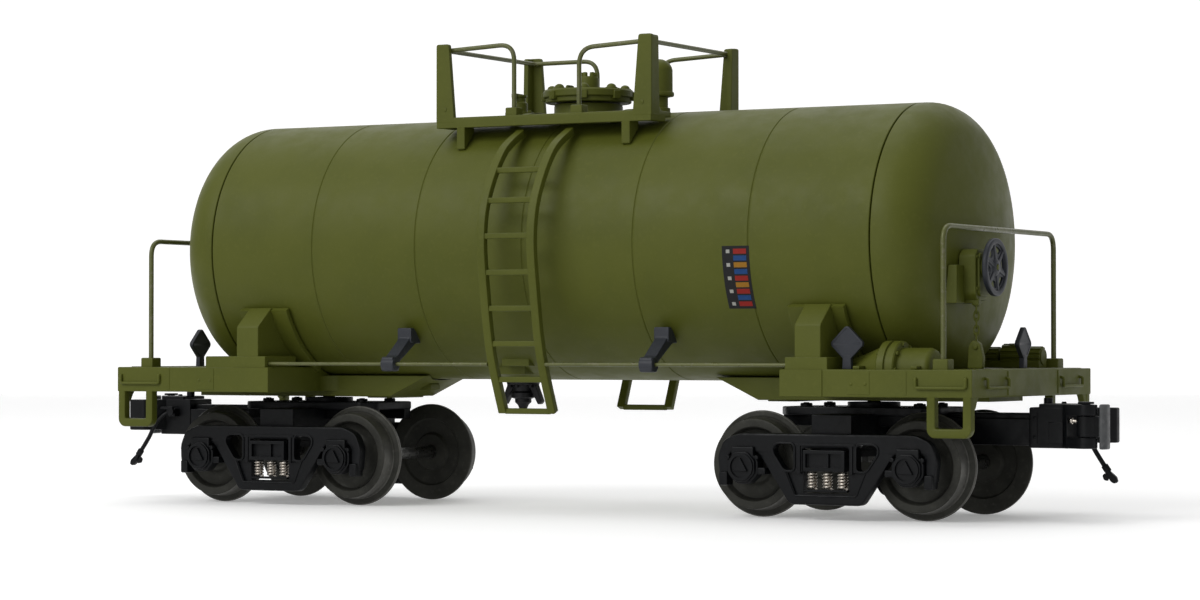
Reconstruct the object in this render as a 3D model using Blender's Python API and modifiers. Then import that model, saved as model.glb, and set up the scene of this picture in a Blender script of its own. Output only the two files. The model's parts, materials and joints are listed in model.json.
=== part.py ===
"""O-scale model tank wagon: a plastic tank on two end platforms, carried by two die-cast trucks.

Every size below is in millimetres. X runs along the wagon (+X is the hand-brake end), Y across it and
Z up from the underside of the wheel flanges. What repeats at the two ends is one shape, turned half
round about Z.
"""

import math

import bmesh
import bpy
from mathutils import Matrix, Vector

MM = 0.001
GAP = 0.3

# Tank
TANK_RADIUS = 28.3
TANK_AXIS_Z = 55.7
TANK_WALL = 1.5
BARREL_END = 78.7
HEAD_END = 92.3
HEAD_KNUCKLE = 10.0
HEAD_RIM = 0.8
SPIGOT_LENGTH = 4.0
SPIGOT_WALL = 1.2
TANK_SEGMENTS = 48
CROWN_Z = TANK_AXIS_Z + TANK_RADIUS
WEIGHT_SIZE = (100.0, 20.0, 5.0)
WEIGHT_BOTTOM = 31.2

# Fittings on the tank
NECK_RADIUS = 7.4
COVER_RADIUS = 9.75
COVER_Z = 86.75
COVER_BOLTS = 8
COVER_BOLT_CIRCLE = 7.9
FITTING_X = 17.2
OUTLET_X = -16.3

# Walkway
WALK_X = 26.1
WALK_Y = 20.0
WALK_TOP = 83.3
WALK_DEPTH = 2.25
DECK_INNER_Y = 11.2
POST_TOP = 99.0
POST_THICK = 1.2
POST_FOOT_WIDTH = 4.5
POST_HEAD_WIDTH = 3.1
POST_DEPTH = 3.8
RAIL_RADIUS = 0.5
RAIL_Z = 97.7
STANCHION_X = 7.9
STRAP_X = 12.5

# Ladders
LADDER_HALF_WIDTH = 6.9
STILE_THICK = 1.9
STILE_DEPTH = 1.6
RUNG_HEIGHTS = (71.1, 64.7, 57.3, 49.8, 42.4, 35.1, 27.7, 21.1)

# End platforms
PLATFORM_IN = 61.3
PLATFORM_OUT = 101.9
PLATFORM_HALF_WIDTH = 31.9
SILL_TOP = 30.05
SILL_BOTTOM = 24.65
SILL_THICK = 1.6
DECK_THICK = 1.5
CENTRE_SILL_HALF = 9.0
CENTRE_SILL_BOTTOM = 23.55
HANDRAIL_X = 94.8
HANDRAIL_Y = 29.0
HANDRAIL_TOP = 57.85
HANDRAIL_RADIUS = 0.55
SIDE_RAIL_Y = 30.3
SIDE_RAIL_Z = 30.85
SIDE_RAIL_RADIUS = 0.4
BRACKET_X = 31.0
RESERVOIR_Y = -24.0
CONTROL_VALVE_Y = 24.0

# Hand brake
BRAKE_WHEEL_Y = -9.7
BRAKE_WHEEL_Z = 50.15
BRAKE_WHEEL_X = 97.0
BRAKE_WHEEL_RADIUS = 5.75

# Trucks
TRUCK_X = 67.05
AXLE_X = 18.0
AXLE_Z = 10.8
FLANGE_RADIUS = 10.8
TREAD_RADIUS = 9.15
WHEEL_BACK = 14.2
WHEEL_FACE = 19.0
AXLE_RADIUS = 1.5
JOURNAL_RADIUS = 1.2
AXLE_TIP = 23.3
FRAME_IN = 21.0
FRAME_OUT = 23.6
BOLSTER_HALF = 4.6
BOLSTER_END = 24.3
BOLSTER_BOTTOM = 9.7
SPRING_PITCH = 3.35
SPRING_RADIUS = 1.0
PIN_RADIUS = 1.5
PIN_TOP = 26.3

# Couplers, measured from the truck's centre
COUPLER_BACK = 35.4
COUPLER_BOTTOM = 14.45
COUPLER_TOP = 23.2
KNUCKLE_X = 47.6
KNUCKLE_Y = -4.8
LUG_THICK = 2.2
GUARD_BOTTOM = 15.4
GUARD_TOP = 22.4

ALONG_X = Matrix(((0, 0, 1, 0), (1, 0, 0, 0), (0, 1, 0, 0), (0, 0, 0, 1)))
ALONG_Y = Matrix.Rotation(math.pi / 2, 4, "X")
ALONG_Z = Matrix.Identity(4)


# ---------------------------------------------------------------- scene and shape tools

def clear_scene():
    for obj in list(bpy.data.objects):
        bpy.data.objects.remove(obj, do_unlink=True)


def make_collection(name):
    collection = bpy.data.collections.new(name)
    bpy.context.scene.collection.children.link(collection)
    return collection


def temporary(mesh_or_curve):
    obj = bpy.data.objects.new("shape", mesh_or_curve)
    obj.hide_render = True
    obj.display_type = "WIRE"
    CUTTERS.objects.link(obj)
    return obj


def baked(obj):
    """The evaluated mesh of an object, welded, with its faces pointing out; the object is removed."""
    graph = bpy.context.evaluated_depsgraph_get()
    mesh = bpy.data.meshes.new_from_object(obj.evaluated_get(graph), depsgraph=graph)
    bpy.data.objects.remove(obj, do_unlink=True)
    bm = bmesh.new()
    bm.from_mesh(mesh)
    bmesh.ops.remove_doubles(bm, verts=bm.verts, dist=1e-6)
    bmesh.ops.dissolve_degenerate(bm, edges=bm.edges, dist=1e-6)
    bmesh.ops.recalc_face_normals(bm, faces=bm.faces)
    bm.to_mesh(mesh)
    bm.free()
    return mesh


def from_bmesh(bm):
    mesh = bpy.data.meshes.new("shape")
    bm.to_mesh(mesh)
    bm.free()
    return mesh


def block(low, high):
    """A box between two corners."""
    low = Vector(low)
    high = Vector(high)
    bm = bmesh.new()
    matrix = Matrix.Translation((low + high) / 2 * MM) @ Matrix.Diagonal(((high - low) * MM).to_4d())
    bmesh.ops.create_cube(bm, size=1, matrix=matrix)
    return from_bmesh(bm)


def bar(centre, radius, start, end, axis=ALONG_Z, segments=16):
    """A round bar along an axis; centre is its place in the plane across that axis."""
    bm = bmesh.new()
    middle = Vector((centre[0], centre[1], (start + end) / 2)) * MM
    bmesh.ops.create_cone(bm, cap_ends=True, segments=segments, radius1=radius * MM, radius2=radius * MM,
                          depth=(end - start) * MM, matrix=axis @ Matrix.Translation(middle))
    return from_bmesh(bm)


def turned(profile, centre=(0, 0), axis=ALONG_Z, steps=24, ring=False):
    """A profile of (radius, height) points turned about an axis; a ring's profile is closed."""
    mesh = bpy.data.meshes.new("profile")
    points = [(radius * MM, 0, height * MM) for radius, height in profile]
    edges = [(i, i + 1) for i in range(len(points) - 1)]
    if ring:
        edges.append((len(points) - 1, 0))
    mesh.from_pydata(points, edges, [])
    obj = temporary(mesh)
    screw = obj.modifiers.new("Turn", "SCREW")
    screw.axis = "Z"
    screw.steps = steps
    screw.render_steps = steps
    screw.use_merge_vertices = True
    screw.merge_threshold = 1e-6
    result = baked(obj)
    result.transform(axis @ Matrix.Translation(Vector((centre[0], centre[1], 0)) * MM))
    return result


def plate(outline, start, end, axis=ALONG_Z, holes=()):
    """A flat outline, with holes, made solid between two places along an axis."""
    curve = bpy.data.curves.new("outline", "CURVE")
    curve.dimensions = "2D"
    curve.fill_mode = "BOTH"
    curve.extrude = abs(end - start) / 2 * MM
    for loop in (outline, *holes):
        spline = curve.splines.new("POLY")
        spline.points.add(len(loop) - 1)
        for point, (x, y) in zip(spline.points, loop):
            point.co = (x * MM, y * MM, 0, 1)
        spline.use_cyclic_u = True
    result = baked(temporary(curve))
    result.transform(axis @ Matrix.Translation((0, 0, (start + end) / 2 * MM)))
    return result


def wire(points, radius):
    """A round wire with closed ends along a list of points."""
    curve = bpy.data.curves.new("wire", "CURVE")
    curve.dimensions = "3D"
    curve.bevel_depth = radius * MM
    curve.bevel_resolution = 2
    curve.use_fill_caps = True
    spline = curve.splines.new("POLY")
    spline.points.add(len(points) - 1)
    for point, place in zip(spline.points, points):
        point.co = (*(Vector(place) * MM), 1)
    return baked(temporary(curve))


def combined(first, others, operation):
    others = list(others)
    if not others:
        return first
    obj = temporary(first)
    helpers = bpy.data.collections.new("helpers")
    CUTTERS.children.link(helpers)
    for mesh in others:
        helper = temporary(mesh)
        helpers.objects.link(helper)
        CUTTERS.objects.unlink(helper)
    boolean = obj.modifiers.new("Combine", "BOOLEAN")
    boolean.operation = operation
    boolean.solver = "EXACT"
    boolean.operand_type = "COLLECTION"
    boolean.collection = helpers
    result = baked(obj)
    for helper in list(helpers.objects):
        bpy.data.objects.remove(helper, do_unlink=True)
    bpy.data.collections.remove(helpers)
    return result


def joined(*meshes):
    return combined(meshes[0], meshes[1:], "UNION")


def cut(mesh, *cutters):
    return combined(mesh, cutters, "DIFFERENCE")


def mirrored(mesh, axis):
    """A copy of a shape mirrored across the plane through the origin and across the given axis."""
    copy = mesh.copy()
    scale = Vector((1, 1, 1))
    scale[axis] = -1
    copy.transform(Matrix.Diagonal(scale.to_4d()))
    copy.flip_normals()
    return copy


def arc(centre, radius, start, end, steps):
    """Points on a circle between two angles in degrees."""
    angles = [math.radians(start + (end - start) * i / steps) for i in range(steps + 1)]
    return [(centre[0] + radius * math.cos(a), centre[1] + radius * math.sin(a)) for a in angles]


def rounded(points, radius, steps=4):
    """A path whose inner corners are replaced by round bends."""
    points = [Vector(p) for p in points]
    path = [points[0]]
    for before, corner, after in zip(points, points[1:], points[2:]):
        start = corner + (before - corner).normalized() * radius
        end = corner + (after - corner).normalized() * radius
        for i in range(steps + 1):
            t = i / steps
            path.append(start * (1 - t) ** 2 + corner * 2 * t * (1 - t) + end * t ** 2)
    path.append(points[-1])
    return path


def smooth(points, steps=3):
    """A Catmull-Rom curve through a few points in a plane."""
    ends = [points[0], *points, points[-1]]
    path = []
    for a, b, c, d in zip(ends, ends[1:], ends[2:], ends[3:]):
        for i in range(steps):
            t = i / steps
            path.append(tuple(0.5 * (2 * q + (r - p) * t + (2 * p - 5 * q + 4 * r - s) * t ** 2
                                     + (3 * q - p - 3 * r + s) * t ** 3)
                              for p, q, r, s in zip(a, b, c, d)))
    path.append(points[-1])
    return path


# ---------------------------------------------------------------- materials and placing

def material(name, colour, roughness, metallic=0.0):
    mat = bpy.data.materials.new(name)
    mat.use_nodes = True
    shader = mat.node_tree.nodes["Principled BSDF"]
    shader.inputs["Base Color"].default_value = (*colour, 1)
    shader.inputs["Roughness"].default_value = roughness
    shader.inputs["Metallic"].default_value = metallic
    mat.diffuse_color = (*colour, 1)
    return mat


def make_materials():
    return {
        "olive_plastic": material("olive_plastic", (0.107, 0.122, 0.027), 0.5),
        "olive_wire": material("olive_wire", (0.120, 0.133, 0.035), 0.4, 0.3),
        "slate_plastic": material("slate_plastic", (0.038, 0.042, 0.054), 0.45),
        "black_plastic": material("black_plastic", (0.010, 0.010, 0.012), 0.5),
        "black_casting": material("black_casting", (0.007, 0.008, 0.009), 0.45, 0.4),
        "wheel_steel": material("wheel_steel", (0.045, 0.045, 0.040), 0.4, 0.9),
        "axle_steel": material("axle_steel", (0.12, 0.12, 0.12), 0.35, 1.0),
        "spring_steel": material("spring_steel", (0.55, 0.52, 0.46), 0.25, 1.0),
        "knuckle_grey": material("knuckle_grey", (0.075, 0.078, 0.080), 0.4, 0.8),
        "weight_steel": material("weight_steel", (0.25, 0.25, 0.25), 0.5, 1.0),
    }


def place(name, mesh, material_name, location=(0, 0, 0), turn=0.0, parent=None):
    """Adds one sub-part; its origin is the shape's own zero, moved to location in millimetres."""
    own = mesh.copy()
    own.name = name
    own.materials.clear()
    own.materials.append(MATERIALS[material_name])
    own.shade_smooth()
    own.set_sharp_from_angle(angle=math.radians(32))
    obj = bpy.data.objects.new(name, own)
    WAGON.objects.link(obj)
    obj.parent = parent
    obj.location = Vector(location) * MM
    obj.rotation_euler = (0, 0, turn)
    return obj


def pivot(name, location, turn=0.0, parent=None):
    empty = bpy.data.objects.new(name, None)
    empty.empty_display_size = 5 * MM
    WAGON.objects.link(empty)
    empty.parent = parent
    empty.location = Vector(location) * MM
    empty.rotation_euler = (0, 0, turn)
    return empty


# ---------------------------------------------------------------- tank

def head_outline(extra=0.0):
    """The outside of the dished end as (radius, height along the wagon), from its rim to its centre."""
    radius = TANK_RADIUS + extra
    knuckle = HEAD_KNUCKLE + extra
    knuckle_radius = radius - knuckle
    knuckle_at = BARREL_END + GAP + HEAD_RIM
    rise = HEAD_END + extra - knuckle_at
    crown = (knuckle_radius ** 2 + rise ** 2 - knuckle ** 2) / (2 * (rise - knuckle))
    crown_at = HEAD_END + extra - crown
    meet = math.degrees(math.atan2(knuckle_at - crown_at, knuckle_radius))
    points = arc((knuckle_radius, knuckle_at), knuckle, 0, meet, 4)
    points += arc((0, crown_at), crown, meet, 90, 3)[1:]
    points[-1] = (0, HEAD_END + extra)
    return points


def tank_envelope():
    """The tank's outside grown by the gap, to shape whatever fits against it."""
    profile = head_outline(GAP)[::-1] + [(TANK_RADIUS + GAP, 0), (0, 0)]
    return turned(profile, (0, TANK_AXIS_Z), ALONG_X, TANK_SEGMENTS)


def tank_barrel():
    inner = TANK_RADIUS - TANK_WALL
    ring = [(TANK_RADIUS, BARREL_END), (TANK_RADIUS, -BARREL_END), (inner, -BARREL_END),
            (inner, BARREL_END)]
    shell = turned(ring, (0, TANK_AXIS_Z), ALONG_X, TANK_SEGMENTS, ring=True)
    neck = bar((0, 0), NECK_RADIUS, CROWN_Z - 2.0, COVER_Z - GAP, segments=24)
    valve_flange = bar((-FITTING_X, 0), 3.2, CROWN_Z - 0.9, CROWN_Z + 1.4)
    valve_body = bar((-FITTING_X, 0), 1.7, CROWN_Z + 1.2, CROWN_Z + 5.2, segments=12)
    valve_lever = block((-FITTING_X - 0.4, -3.0, CROWN_Z + 4.4), (-FITTING_X + 0.4, 1.0, CROWN_Z + 5.5))
    return joined(shell, neck, valve_flange, valve_body, valve_lever)


def tank_head():
    outer = head_outline()
    inner = [(r * (1 - TANK_WALL / TANK_RADIUS), h - TANK_WALL) for r, h in outer[::-2]]
    spigot = TANK_RADIUS - TANK_WALL - GAP
    rim = BARREL_END + GAP
    low = rim - SPIGOT_LENGTH
    shoulder = [(spigot - SPIGOT_WALL, low), (spigot, low), (spigot, rim), (TANK_RADIUS, rim)]
    profile = inner + shoulder + outer
    return turned(profile[::-1], (0, TANK_AXIS_Z), ALONG_X, TANK_SEGMENTS)


def ballast_weight():
    length, width, height = WEIGHT_SIZE
    return block((-length / 2, -width / 2, WEIGHT_BOTTOM), (length / 2, width / 2, WEIGHT_BOTTOM + height))


def manway_cover():
    lower = bar((0, 0), COVER_RADIUS - 0.5, COVER_Z, COVER_Z + 1.2, segments=24)
    upper = bar((0, 0), COVER_RADIUS, COVER_Z + 1.1, COVER_Z + 2.8, segments=24)
    bolts = [bar(centre, 1.1, COVER_Z + 2.6, COVER_Z + 3.6, segments=8)
             for centre in arc((0, 0), COVER_BOLT_CIRCLE, 22.5, 337.5, COVER_BOLTS - 1)]
    vent = bar((0, 0), 2.2, COVER_Z + 2.6, COVER_Z + 6.0)
    crown = bar((0, 0), 1.8, COVER_Z + 5.9, COVER_Z + 6.7, segments=12)
    return joined(lower, upper, *bolts, vent, crown)


def relief_valve():
    base = CROWN_Z + GAP
    profile = [(0, 95.6), (1.5, 95.2), (2.5, 94.3), (2.9, 93.2), (2.9, 88.4), (3.2, 88.4), (3.2, 87.6),
               (1.9, 87.4), (1.9, base), (0, base)]
    return turned(profile, (FITTING_X, 0), steps=16)


def outlet_valve():
    profile = [(0, 27.1), (3.6, 27.1), (3.6, 26.3), (2.2, 26.2), (2.2, 24.7), (2.6, 24.4), (2.6, 23.5),
               (1.8, 23.2), (1.8, 22.4), (1.2, 21.9), (0, 20.75)]
    body = turned(profile, (OUTLET_X, 0), steps=16)
    arm = [(OUTLET_X + x, z) for x, z in ((1.6, 26.6), (3.4, 26.6), (5.0, 22.6), (4.2, 21.9), (2.9, 24.2))]
    other = [(2 * OUTLET_X - x, z) for x, z in arm[::-1]]
    return joined(body, plate(arm, -0.9, 0.9, ALONG_Y), plate(other, -0.9, 0.9, ALONG_Y))


# ---------------------------------------------------------------- walkway and ladders

def walkway_corner():
    """One corner of the walkway at +X, +Y: half a deck strip, its edge beams, one leg and one post."""
    bottom = WALK_TOP - WALK_DEPTH
    overlap = 0.2
    deck = block((-overlap, DECK_INNER_Y, WALK_TOP - 1.15), (WALK_X, WALK_Y, WALK_TOP))
    edge = block((-overlap, WALK_Y - 1.6, bottom), (WALK_X, WALK_Y, WALK_TOP - 1))
    end = block((WALK_X - 1.5, 13.6, bottom), (WALK_X, WALK_Y - 1, WALK_TOP - 1))
    leg = plate([(16.0, 79.8), (WALK_Y, 76.4), (WALK_Y, 82.6), (16.0, 82.6)], 19.0, 21.0, ALONG_X)
    face = plate([(WALK_X, 82.6), (WALK_X, POST_TOP), (WALK_X - POST_HEAD_WIDTH, POST_TOP),
                  (WALK_X - POST_FOOT_WIDTH, 82.6)], -WALK_Y, POST_THICK - WALK_Y, ALONG_Y)
    side = block((WALK_X - POST_THICK, WALK_Y - POST_DEPTH, 82.6), (WALK_X, WALK_Y - 0.4, POST_TOP))
    socket = block((STANCHION_X - 1.4, 16.6, WALK_TOP - 0.4), (STANCHION_X + 1.4, 19.4, WALK_TOP + 1.7))
    corner = joined(deck, edge, end, leg, face, side, socket)
    stanchion_hole = bar((STANCHION_X, 18.0), RAIL_RADIUS + GAP, WALK_TOP + 0.2, WALK_TOP + 3, segments=8)
    return cut(corner, stanchion_hole)


def walkway_strap(x):
    """A thin strap over the crown of the tank that ties the two deck strips together."""
    inner = arc((0, TANK_AXIS_Z), TANK_RADIUS + GAP + 0.05, 65, 115, 10)
    outer = arc((0, TANK_AXIS_Z), TANK_RADIUS + GAP + 0.85, 115, 65, 10)
    return plate(inner + outer, x - 1, x + 1, ALONG_X)


def walkway_frame():
    corner = walkway_corner()
    far = joined(corner, mirrored(corner, 0))
    return joined(far, mirrored(far, 1), walkway_strap(STRAP_X), walkway_strap(-STRAP_X))


def walkway_rail(near_lift, far_lift):
    """One rail loop, from its near stanchion round two posts to its far stanchion."""
    foot = WALK_TOP + 0.5
    at = WALK_X - POST_THICK - RAIL_RADIUS - GAP
    out = WALK_Y - POST_THICK - RAIL_RADIUS - GAP
    points = [(STANCHION_X, -out, foot), (STANCHION_X, -out, RAIL_Z + near_lift), (at, -out, RAIL_Z),
              (at, out, RAIL_Z), (STANCHION_X, out, RAIL_Z + far_lift), (STANCHION_X, out, foot)]
    near = rounded(points[:3], 3.4)[:-1]
    far = rounded(points[3:], 3.4)[1:]
    corners = rounded([near[-1], points[2], points[3], far[0]], 1.2, 2)
    return wire(near[:-1] + corners + far[1:], RAIL_RADIUS)


def stile_curve():
    """The outer edge of a near-side ladder stile, as (distance from the wagon's middle, height)."""
    return smooth([(18.6, 80.3), (26.6, 75.5), (33.0, 66.0), (35.0, 57.0), (33.8, 46.0), (31.2, 33.0),
                   (26.2, 20.6)], 2)


def offset_inwards(path, depth):
    """The path moved square to itself towards the tank."""
    result = []
    for i, (y, z) in enumerate(path):
        before = path[max(i - 1, 0)]
        after = path[min(i + 1, len(path) - 1)]
        along = Vector((after[0] - before[0], after[1] - before[1])).normalized()
        result.append((y + along.y * depth, z - along.x * depth))
    return result


def ladder():
    outer = stile_curve()
    inner = offset_inwards(outer, STILE_DEPTH)
    outline = [(-y, z) for y, z in outer + inner[::-1]]
    pieces = []
    for side in (-1, 1):
        edges = sorted((side * (LADDER_HALF_WIDTH - STILE_THICK), side * LADDER_HALF_WIDTH))
        pieces.append(plate(outline, *edges, ALONG_X))
    middle = offset_inwards(outer, STILE_DEPTH / 2)
    half = LADDER_HALF_WIDTH - STILE_THICK + 0.4
    for height in RUNG_HEIGHTS:
        above, below = next((a, b) for a, b in zip(middle, middle[1:]) if a[1] >= height >= b[1])
        share = (above[1] - height) / (above[1] - below[1])
        y = above[0] + (below[0] - above[0]) * share
        pieces.append(block((-half, -y - 0.5, height - 0.55), (half, -y + 0.5, height + 0.55)))
    return joined(*pieces)


def side_handrail():
    start = LADDER_HALF_WIDTH + GAP
    end = PLATFORM_IN + 2.0
    return wire([(start, -SIDE_RAIL_Y, SIDE_RAIL_Z), (end, -SIDE_RAIL_Y, SIDE_RAIL_Z)], SIDE_RAIL_RADIUS)


def rail_bracket():
    outline = [(-22.8, 38.4), (-24.8, 38.4), (-24.8, 36.4), (-29.9, 32.4), (-31.7, 32.4), (-31.7, 29.3),
               (-28.9, 29.3), (-28.9, 31.2), (-22.4, 35.2), (-20.2, 35.2)]
    foot_hole = bar((-SIDE_RAIL_Y, SIDE_RAIL_Z), SIDE_RAIL_RADIUS + GAP, -3, 3, ALONG_X, 8)
    return cut(plate(outline, -1.45, 1.45, ALONG_X), foot_hole)


# ---------------------------------------------------------------- end platforms

def grab_iron(low, high, square_to):
    """A small square staple on a beam: a bar low down and a leg at each end."""
    thick = 0.55
    pieces = []
    if square_to == "Y":
        pieces.append(block((low[0], low[1], low[2]), (high[0], low[1] + thick, low[2] + thick)))
        for x in (low[0], high[0] - thick):
            pieces.append(block((x, low[1], low[2]), (x + thick, high[1], high[2])))
    else:
        pieces.append(block((high[0] - thick, low[1], low[2]), (high[0], high[1], low[2] + thick)))
        for y in (low[1], high[1] - thick):
            pieces.append(block((low[0], y, low[2]), (high[0], y + thick, high[2])))
    return pieces


def step_stirrup():
    """The step under the near corner, with its gusset."""
    outer = [(92.4, SILL_BOTTOM + 0.6), (92.4, 18.0), (93.4, 16.9), (100.7, 16.9), (101.7, 18.0),
             (101.7, SILL_BOTTOM + 0.6)]
    inner = [(99.5, SILL_BOTTOM + 0.6), (99.5, 18.9), (94.6, 18.9), (94.6, SILL_BOTTOM + 0.6)]
    edge = PLATFORM_HALF_WIDTH
    gusset = [(-edge, SILL_BOTTOM + 0.4), (-edge, 22.4), (-edge + 2.4, 22.4),
              (-edge + 4.0, SILL_BOTTOM + 0.4)]
    return [plate(outer + inner, edge - 1.4, edge, ALONG_Y),
            plate(gusset, PLATFORM_OUT - 1.5, PLATFORM_OUT - 0.2, ALONG_X)]


def saddle():
    """The saddle under the near flank of the tank: a web, a plate wrapped on the tank and a base block."""
    edge = PLATFORM_HALF_WIDTH
    web = [(-8, 28.9), (-edge, 28.9), (-edge, 37.4), (-edge + 0.7, 39.6), (-edge + 2.4, 41.4),
           (-26.6, 43.0), (-22.0, 43.0), (-8, 36)]
    inner = arc((0, TANK_AXIS_Z), TANK_RADIUS + GAP, 206.5, 243.0, 8)
    outer = arc((0, TANK_AXIS_Z), TANK_RADIUS + GAP + 1.3, 243.0, 206.5, 8)
    return [plate(web, 64.3, 69.8, ALONG_X), plate(inner + outer, 60.2, 72.6, ALONG_X)]


def underframe(reservoir_opening):
    """One end platform, modelled at the hand-brake end."""
    edge = PLATFORM_HALF_WIDTH
    inside = edge - SILL_THICK
    deck_bottom = SILL_TOP - DECK_THICK
    tray = block((PLATFORM_IN, -edge, SILL_BOTTOM), (PLATFORM_OUT, edge, SILL_TOP))
    hollow = block((PLATFORM_IN + SILL_THICK, -inside, SILL_BOTTOM - 1),
                   (PLATFORM_OUT - SILL_THICK, inside, deck_bottom))
    centre_sill = plate([(35.2, 28.2), (45.0, CENTRE_SILL_BOTTOM), (96.0, CENTRE_SILL_BOTTOM), (96.0, 29.0),
                         (PLATFORM_IN + 1, 29.0), (PLATFORM_IN + 1, 28.2)],
                        -CENTRE_SILL_HALF, CENTRE_SILL_HALF, ALONG_Y)
    saddles = saddle()
    base_near = block((62.2, -edge, SILL_TOP - 0.5), (72.2, -20, 32.45))
    base_far = block((62.2, 20, SILL_TOP - 0.5), (78.0, edge, 32.45))
    steps = step_stirrup()
    both_sides = [mirrored(piece, 1) for piece in saddles + steps]
    sockets = [block((HANDRAIL_X - 1.9, side * HANDRAIL_Y - 2, SILL_TOP - 0.5),
                     (HANDRAIL_X + 1.9, side * HANDRAIL_Y + 2, 32.1)) for side in (-1, 1)]
    side_grab = grab_iron((89.8, -edge - 0.8, 26.3), (101.0, -edge + 0.3, 28.5), "Y")
    side_grab += [mirrored(piece, 1) for piece in side_grab]
    end_grab = grab_iron((PLATFORM_OUT - 0.3, -25.6, 26.3), (PLATFORM_OUT + 0.8, -14.4, 28.5), "X")
    end_grab += [mirrored(piece, 1) for piece in end_grab]
    frame = joined(cut(tray, hollow), centre_sill, base_near, base_far, *saddles, *steps, *both_sides,
                   *sockets, *side_grab, *end_grab)
    pin_hole = bar((TRUCK_X, 0), JOURNAL_RADIUS + GAP, CENTRE_SILL_BOTTOM - 1, PIN_TOP + GAP, segments=12)
    cutters = [tank_envelope(), pin_hole]
    for side in (-1, 1):
        cutters.append(bar((HANDRAIL_X, side * HANDRAIL_Y), HANDRAIL_RADIUS + GAP, 30.4, 33, segments=8))
        cutters.append(bar((side * SIDE_RAIL_Y, SIDE_RAIL_Z), SIDE_RAIL_RADIUS + GAP, 61, 63.7, ALONG_X, 8))
    if reservoir_opening:
        for start, end, half in ((73.0, 91.8, 5.0), (79.8, 85.2, 6.0)):
            cutters.append(block((start, RESERVOIR_Y - half, deck_bottom - 1),
                                 (end, RESERVOIR_Y + half, SILL_TOP + 1)))
    return cut(frame, *cutters)


def end_handrail():
    foot = 30.8
    path = rounded([(HANDRAIL_X, -HANDRAIL_Y, foot), (HANDRAIL_X, -HANDRAIL_Y, HANDRAIL_TOP),
                    (HANDRAIL_X, HANDRAIL_Y, HANDRAIL_TOP), (HANDRAIL_X, HANDRAIL_Y, foot)], 3.6)
    return wire(path, HANDRAIL_RADIUS)


def brake_reservoir():
    axis_z = SILL_TOP
    profile = [(0, 73.4), (2.6, 73.7), (4.2, 75.6), (4.2, 80.6), (5.6, 80.6), (5.6, 84.4), (4.2, 84.4),
               (4.0, 88.9), (2.8, 89.2), (2.8, 91.4), (0, 91.4)]
    body = turned(profile[::-1], (RESERVOIR_Y, axis_z), ALONG_X, 20)
    feet = [block((x, RESERVOIR_Y - 6.3, SILL_TOP + GAP), (x + 1.4, RESERVOIR_Y + 6.3, SILL_TOP + 1.1))
            for x in (76.2, 87.0)]
    return joined(body, *feet)


def brake_control_valve():
    base = block((81.8, CONTROL_VALVE_Y - 2.2, SILL_TOP + GAP),
                 (94.4, CONTROL_VALVE_Y + 2.2, SILL_TOP + 1.6))
    lobes = []
    drums = ((32.4, 2.0, 81.8, 85.0), (32.6, 2.5, 85.8, 90.4), (32.4, 2.2, 91.0, 94.4))
    for z, radius, start, end in drums:
        lobes.append(bar((CONTROL_VALVE_Y, z), radius, start, end, ALONG_X, 12))
    rod = bar((CONTROL_VALVE_Y, 32.4), 1.2, 82.5, 93.5, ALONG_X, 8)
    return joined(base, rod, *lobes)


def placard():
    """A diamond board on a short stem, with its face square to Y and its foot at z = 0."""
    low = 1.9
    half = 3.2
    point = 0.45
    middle = low + half
    right = [(0.8, 0), (0.8, low + 0.5), (half, middle - point), (half, middle + point),
             (point, low + 2 * half)]
    outline = right + [(-x, z) for x, z in right[::-1]]
    return plate(outline, -0.5, 0.5, ALONG_Y)


# ---------------------------------------------------------------- hand brake

def hand_brake_housing():
    y = BRAKE_WHEEL_Y
    case = block((86, y - 3.4, 44.6), (95.4, y + 3.4, 53.8))
    apron = block((86, y - 3.4, 43.0), (94.6, y + 2.2, 45.0))
    mount = block((84, y - 7.0, 43.0), (92.4, y - 3.0, 50.6))
    boss = bar((y, BRAKE_WHEEL_Z), 1.5, 95.0, 96.7, ALONG_X, 12)
    shaft = bar((y, BRAKE_WHEEL_Z), 0.6, 96.4, 98.3, ALONG_X, 8)
    rod = bar((94.0, y - 1.6), 0.55, 30.4, 44.0, segments=8)
    crank = plate([(92.6, 30.4), (95.8, 30.4), (95.8, 32.4), (94.9, 35.6), (93.3, 35.6)],
                  -(y - 0.8), -(y - 2.4), ALONG_Y)
    return cut(joined(case, apron, mount, boss, shaft, rod, crank), tank_envelope())


def hand_brake_wheel():
    """The brake wheel, turned about its own middle."""
    rim_in = BRAKE_WHEEL_RADIUS - 1.0
    rim = turned([(BRAKE_WHEEL_RADIUS, 1.1), (BRAKE_WHEEL_RADIUS, 0.1), (rim_in, 0.1), (rim_in, 1.1)],
                 axis=ALONG_X, steps=24, ring=True)
    hub = bar((0, 0), 1.7, 0, 1.2, ALONG_X, 12)
    spokes = []
    for i in range(5):
        spoke = block((0.3, -0.5, 1.2), (0.95, 0.5, rim_in + 0.4))
        spoke.transform(Matrix.Rotation(math.radians(72 * i), 4, "X"))
        spokes.append(spoke)
    return cut(joined(rim, hub, *spokes), bar((0, 0), 0.9, -1, 2, ALONG_X, 8))


# ---------------------------------------------------------------- trucks

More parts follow.
